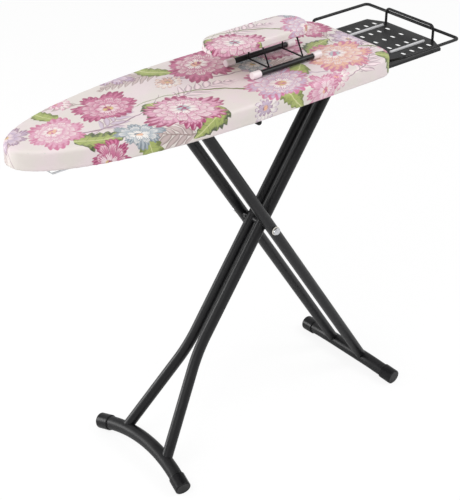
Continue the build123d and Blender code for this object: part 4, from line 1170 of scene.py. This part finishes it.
def keep_outside(piece, outline, top, bottom, top_round, slack, hem, edge_reach):
    """Pushes cloth out to the shape it is stretched over, and gathers it at the lower edge."""
    points = places(piece.data)
    inside, outward, _ = outline.measure(points)
    upper = points[:, 2] > (top + bottom) / 2
    radius = np.where(upper, top_round, hem_round)
    level = np.where(upper, points[:, 2] - top, bottom - points[:, 2]) + radius
    side = radius - inside
    corner = np.hypot(np.clip(side, 0.0, None), np.clip(level, 0.0, None))
    at_edge = (points[:, 2] - bottom < edge_reach) & (inside < edge_reach)
    depth = radius - corner - np.minimum(np.maximum(side, level), 0.0)
    push = np.clip(depth - slack, 0.0, None) * np.where(upper | (inside < hem), 1.0, 0.0)
    round_part = (side > 0) & (level > 0)
    share_side = np.where(round_part, side / np.maximum(corner, 1e-6), side > level)
    share_level = np.where(round_part, level / np.maximum(corner, 1e-6), side <= level)
    points[:, :2] += outward * np.where(at_edge, inside + edge_proud, push * share_side)[:, None]
    points[:, 2] += push * share_level * np.where(upper, 1.0, -1.0)
    points[at_edge, 2] = bottom - edge_proud
    lowest = np.where(inside < 2 * edge_reach, bottom - edge_proud, bottom)
    points[:, 2] = np.maximum(points[:, 2], lowest)
    set_places(piece.data, points)
    shape = bmesh.new()
    shape.from_mesh(piece.data)
    bmesh.ops.remove_doubles(shape, verts=shape.verts, dist=edge_proud)
    bmesh.ops.dissolve_degenerate(shape, dist=edge_proud / 4, edges=shape.edges)
    shape.to_mesh(piece.data)
    shape.free()


# %% [markdown]
# ### From a pad to a sheet
# So far each cover is a closed pad. Its underside is opened inside the hem. Where the iron
# rest comes out at the tail, the cloth gets a straight-edged window. What is left is mapped
# flat: the top as it is, the skirt folded out round it, and the hem beyond that, so that the
# print runs over the edge without a break.

# %% Opening and cutting
window_margin = 0.012


def open_underside(piece, outline, hem, bottom_band):
    """Takes away the pad's underside inside the hem, so that only the cloth is left."""
    points = places(piece.data)
    inside = outline.measure(points)[0]
    shape = bmesh.new()
    shape.from_mesh(piece.data)
    shape.verts.ensure_lookup_table()
    under = (inside > hem) & (points[:, 2] < bottom_band)
    bmesh.ops.delete(shape, geom=[shape.verts[i] for i in np.flatnonzero(under)], context="VERTS")
    shape.to_mesh(piece.data)
    shape.free()


def cut_window(piece, low, high):
    """A straight-edged opening where the cloth passes through a box."""
    shape = bmesh.new()
    shape.from_mesh(piece.data)

    def within(face, spare):
        middle = face.calc_center_median()
        return all(low[k] - spare < middle[k] < high[k] + spare for k in range(3))

    for axis in range(3):
        for bound in (low[axis], high[axis]):
            faces = [face for face in shape.faces if within(face, window_margin)]
            edges = {edge for face in faces for edge in face.edges}
            corners = {corner for face in faces for corner in face.verts}
            normal = [float(k == axis) for k in range(3)]
            bmesh.ops.bisect_plane(
                shape, geom=[*faces, *edges, *corners], dist=1e-6,
                plane_co=[bound * part for part in normal], plane_no=normal,
            )
    gone = [face for face in shape.faces if within(face, 0.0)]
    bmesh.ops.delete(shape, geom=gone, context="FACES")
    shape.to_mesh(piece.data)
    shape.free()


# %% The cloth's flat map, its smoothness and its wall
hem_from, hem_over = 0.85, 0.15


def flat_map(piece, outline, top, bottom):
    """A UV map in metres: the cloth as it lay flat, top in the middle and skirt folded out."""
    mesh = piece.data
    points = places(mesh)
    inside, outward, _ = outline.measure(points)
    drop = np.clip(top - points[:, 2], 0.0, top - bottom)
    beneath = np.clip((drop / (top - bottom) - hem_from) / hem_over, 0.0, 1.0)
    reach = drop + beneath * np.clip(inside, 0.0, None) * 2.0
    flat = points[:, :2] + outward * reach[:, None]
    layer = mesh.uv_layers.new(name="flat cloth")
    corners = np.empty(len(mesh.loops), dtype=np.int64)
    mesh.loops.foreach_get("vertex_index", corners)
    layer.data.foreach_set("uv", flat[corners].ravel())


def smooth(piece):
    """Smooth shading all over."""
    piece.data.polygons.foreach_set("use_smooth", [True] * len(piece.data.polygons))
    return piece


def subdivide(piece):
    """One round of smoothing subdivision, made permanent."""
    modifier = piece.modifiers.new("subdivision", "SUBSURF")
    modifier.levels = 1
    modifier.render_levels = 1
    settle(piece)


def give_wall(piece, thickness):
    """A cloth's thickness, grown inwards."""
    modifier = piece.modifiers.new("wall", "SOLIDIFY")
    modifier.thickness = thickness
    modifier.offset = -1.0
    modifier.use_even_offset = False
    modifier.use_rim = True
    settle(piece)


# %% [markdown]
# ## The two covers
# The big cover has a deep skirt and a hem that turns under; the small one is the same, on the
# scale of the sleeve board. Each starts as a pad whose rings lie just inside the real cover,
# and then goes through the steps above.

# %% Board cover
cover_shrink = 0.0014
hem_width = 0.026
window_half = 0.122
window_top = 0.855
window_depth = 0.060
cover_top, cover_bottom = cover_high[2], cover_low[2]
cover = stacked_rings("board_cover", board_ring, [
    (cover_shrink + 0.012, cover_bottom + 0.0008),
    (cover_shrink + 0.0015, cover_bottom + 0.0012),
    (cover_shrink, cover_bottom + 0.004),
    (cover_shrink, cover_top - 0.0075),
    (cover_shrink + 0.0015, cover_top - 0.0035),
    (cover_shrink + 0.006, cover_top - 0.0006),
    (cover_shrink + 0.012, cover_top - 0.0003),
])
blow_up(cover, board_outline, cover_top, cover_bottom, voxel=0.006, spare_cloth=0.10,
        cap_top=0.0004, cap_side=0.0035)
keep_outside(cover, board_outline, cover_top, cover_bottom, top_round=0.006, slack=0.0007, hem=0.032,
             edge_reach=0.0068)
open_underside(cover, board_outline, hem_width, cover_bottom + 0.012)
cut_window(
    cover,
    (cover_high[0] - window_depth, -window_half, cover_bottom - hem_width),
    (cover_high[0] + hem_width, window_half, window_top),
)
print("cover faces", len(cover.data.polygons))

# %% Sleeve board cover
sleeve_hem = 0.014
sleeve_top, sleeve_bottom = sleeve_high[2], sleeve_low[2]
sleeve_cover = stacked_rings("sleeve_board_cover", sleeve_ring, [
    (0.010, sleeve_bottom + 0.0004),
    (0.0022, sleeve_bottom + 0.0006),
    (0.0010, sleeve_bottom + 0.003),
    (0.0010, sleeve_top - 0.0065),
    (0.0030, sleeve_top - 0.0020),
    (0.0080, sleeve_top - 0.0003),
])
blow_up(sleeve_cover, sleeve_outline, sleeve_top, sleeve_bottom, voxel=0.003, spare_cloth=0.08,
        cap_top=0.0015, cap_side=0.0018)
keep_outside(sleeve_cover, sleeve_outline, sleeve_top, sleeve_bottom, top_round=0.005, slack=0.0007,
             hem=0.018, edge_reach=0.0036)
open_underside(sleeve_cover, sleeve_outline, sleeve_hem, sleeve_bottom + 0.006)
print("sleeve cover faces", len(sleeve_cover.data.polygons))

# %% [markdown]
# ## Felt and drawcord
# The felt pads are flat and firm, with a soft upper edge, so a stack of rings is all they
# need. The drawcord runs in the hem from one tail corner round the nose to the other, and is
# a tube swept along the board's outline.

# %% Felt pads


def felt_pad(name, solid_name, ring_maker):
    """A pad with a soft upper edge, in the space of its solid."""
    low, high = (corner[2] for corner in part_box(solid_name))
    return stacked_rings(name, ring_maker, [
        (0.0030, low + 0.0001), (0.0022, low + 0.0015), (0.0024, high - 0.0035),
        (0.0045, high - 0.0012), (0.010, high - 0.0008),
    ])


felt = felt_pad("board_felt", "felt_pad", board_ring)
sleeve_felt = felt_pad("sleeve_board_felt", "sleeve_felt", sleeve_ring)

# %% Drawcord
cord_sides = 10
cord_low, cord_high = (corner[2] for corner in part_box("drawcord"))
cord_radius = (cord_high - cord_low) / 2
cord_height = (cord_low + cord_high) / 2
cord_path = board_ring(hem_width - cord_radius)
in_hem = cord_path[:, 0] < cover_high[0] - tail_corner
first = int(np.argmax(in_hem & ~np.roll(in_hem, 1)))
cord_path = np.roll(cord_path, -first, axis=0)[: int(in_hem.sum())]
cord_shape = bmesh.new()
cord_loops = []
for i, (x, y) in enumerate(cord_path):
    ahead = cord_path[min(i + 1, len(cord_path) - 1)] - cord_path[max(i - 1, 0)]
    ahead /= np.linalg.norm(ahead)
    cord_loops.append([
        cord_shape.verts.new((
            x + ahead[1] * cord_radius * math.cos(turn),
            y - ahead[0] * cord_radius * math.cos(turn),
            cord_height + cord_radius * math.sin(turn),
        ))
        for turn in (2 * math.pi * k / cord_sides for k in range(cord_sides))
    ])
join_loops(cord_shape, cord_loops)
drawcord = link_mesh("hem_drawcord", mesh_of(cord_shape, "hem_drawcord"))
print("drawcord", round(float(np.linalg.norm(np.diff(cord_path, axis=0), axis=1).sum()), 3), "m long")

# %% [markdown]
# ## Finishing the cloth
# The covers are smoothed once, mapped flat, and only then given the thickness of cotton.

# %% Map and wall
cotton_wall = 0.0006
for piece, outline, top, bottom in (
    (cover, board_outline, cover_top, cover_bottom),
    (sleeve_cover, sleeve_outline, sleeve_top, sleeve_bottom),
):
    subdivide(piece)
    flat_map(piece, outline, top, bottom)
    give_wall(piece, cotton_wall)
    smooth(piece)
    print(piece.name, "triangles about", 2 * len(piece.data.polygons))

# %% [markdown]
# ## Stitches in the hem
# One row of stitches holds each hem. They repeat along a path, which is what Geometry Nodes
# do best: the tree resamples the path at even steps and puts one small, long bead at each,
# turned along the path. The path is found by looking up from below at where the cloth is, so
# it stops at the window by itself.

# %% Stitch tree


def stitch_tree():
    """A tree of geometry nodes that lays one short, round stitch at even steps along a path."""
    tree = bpy.data.node_groups.new("stitch_row", "GeometryNodeTree")
    identifiers = {}
    for socket_name, kind, value in (
        ("Path", "Geometry", None), ("Step", "Float", 0.0045), ("Length", "Float", 0.003),
        ("Thickness", "Float", 0.0008), ("Thread", "Material", None),
    ):
        socket = tree.interface.new_socket(
            socket_name, in_out="INPUT", socket_type="NodeSocket" + kind
        )
        if value is not None:
            socket.default_value = value
        identifiers[socket_name] = socket.identifier
    tree.interface.new_socket("Stitches", in_out="OUTPUT", socket_type="NodeSocketGeometry")
    given = values_of(tree, tree.nodes.new("NodeGroupInput").outputs)
    curve = output(tree, "GeometryNodeMeshToCurve", 0, {"Mesh": given["Path"]})
    steps = output(
        tree, "GeometryNodeResampleCurve", 0, {"Curve": curve, "Length": given["Step"]}, mode="LENGTH"
    )
    along = output(tree, "GeometryNodeInputTangent", 0)
    turn = output(tree, "FunctionNodeAlignRotationToVector", 0, {"Vector": along}, axis="Z")
    bead = output(tree, "GeometryNodeMeshUVSphere", 0, {"Segments": 6, "Rings": 4, "Radius": 0.5})
    thickness = given["Thickness"]
    size = output(tree, "ShaderNodeCombineXYZ", 0, {"X": thickness, "Y": thickness, "Z": given["Length"]})
    row = output(
        tree, "GeometryNodeInstanceOnPoints", 0,
        {"Points": steps, "Instance": bead, "Rotation": turn, "Scale": size},
    )
    real = output(tree, "GeometryNodeRealizeInstances", 0, {"Geometry": row})
    dressed = output(tree, "GeometryNodeSetMaterial", 0, {"Geometry": real, "Material": given["Thread"]})
    link(dressed, tree.nodes.new("NodeGroupOutput").inputs[0])
    return tree, identifiers


stitch_group, stitch_sockets = stitch_tree()

# %% Stitch rows
look_from = 0.03
look_reach = 0.045
path_step = 0.003


def stitch_round(name, cloth, ring_maker, inset, bottom):
    """A row of stitches under a cover's hem, laid on the cloth wherever it is there."""
    surface = BVHTree.FromObject(cloth, bpy.context.evaluated_depsgraph_get())
    up = Vector((0.0, 0.0, 1.0))
    spots = [
        surface.ray_cast(Vector((x, y, bottom - look_from)), up, look_reach)[0]
        for x, y in ring_maker(inset, path_step)
    ]
    shape = bmesh.new()
    before = None
    for spot in [*spots, spots[0]]:
        here = None if spot is None else shape.verts.new(spot)
        if here is not None and before is not None:
            shape.edges.new((before, here))
        before = here
    path = link_mesh(name, mesh_of(shape, name))
    modifier = path.modifiers.new("stitches", "NODES")
    modifier.node_group = stitch_group
    modifier[stitch_sockets["Thread"]] = cord_material
    return smooth(settle(path))


stitches = stitch_round("hem_stitches", cover, board_ring, hem_width - 0.007, cover_bottom)
sleeve_stitches = stitch_round(
    "sleeve_hem_stitches", sleeve_cover, sleeve_ring, sleeve_hem - 0.004, sleeve_bottom
)
print("stitch faces", len(stitches.data.polygons), len(sleeve_stitches.data.polygons))

# %% [markdown]
# ## Riding and replacing
# Each soft piece takes the place of one solid and moves with that solid's body. The stitches
# replace nothing and ride along.

# %% Bodies and slots
for piece, body in ((stitches, "board"), (sleeve_stitches, "sleeve_board")):
    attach(piece, body)
for piece, solid_name, body, slot_name, material in (
    (cover, "cover", "board", "printed_cotton", board_cotton),
    (felt, "felt_pad", "board", "felt", felt_material),
    (drawcord, "drawcord", "board", "cord", cord_material),
    (sleeve_cover, "sleeve_cover", "sleeve_board", "printed_cotton", sleeve_cotton),
    (sleeve_felt, "sleeve_felt", "sleeve_board", "felt", felt_material),
):
    piece.data.materials.clear()
    piece.data.materials.append(material)
    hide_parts(solid_name)
    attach(piece, body)

# %% Pads and sheets
for piece, low, high, hem, pad in (
    (cover, cover_low, cover_high, hem_width, "board_felt"),
    (sleeve_cover, sleeve_low, sleeve_high, sleeve_hem, "sleeve_board_felt"),
):
    turned_down = 2 * (high[2] - low[2] + hem)

# %% [markdown]
# ## Sizes and finish
# The box of the finished model is printed. The cloth may stand a little proud of its solid
# but may not make the object bigger.

# %% Sizes and finish
low, high = (list(corner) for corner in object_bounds())
print("visual box", low, high)
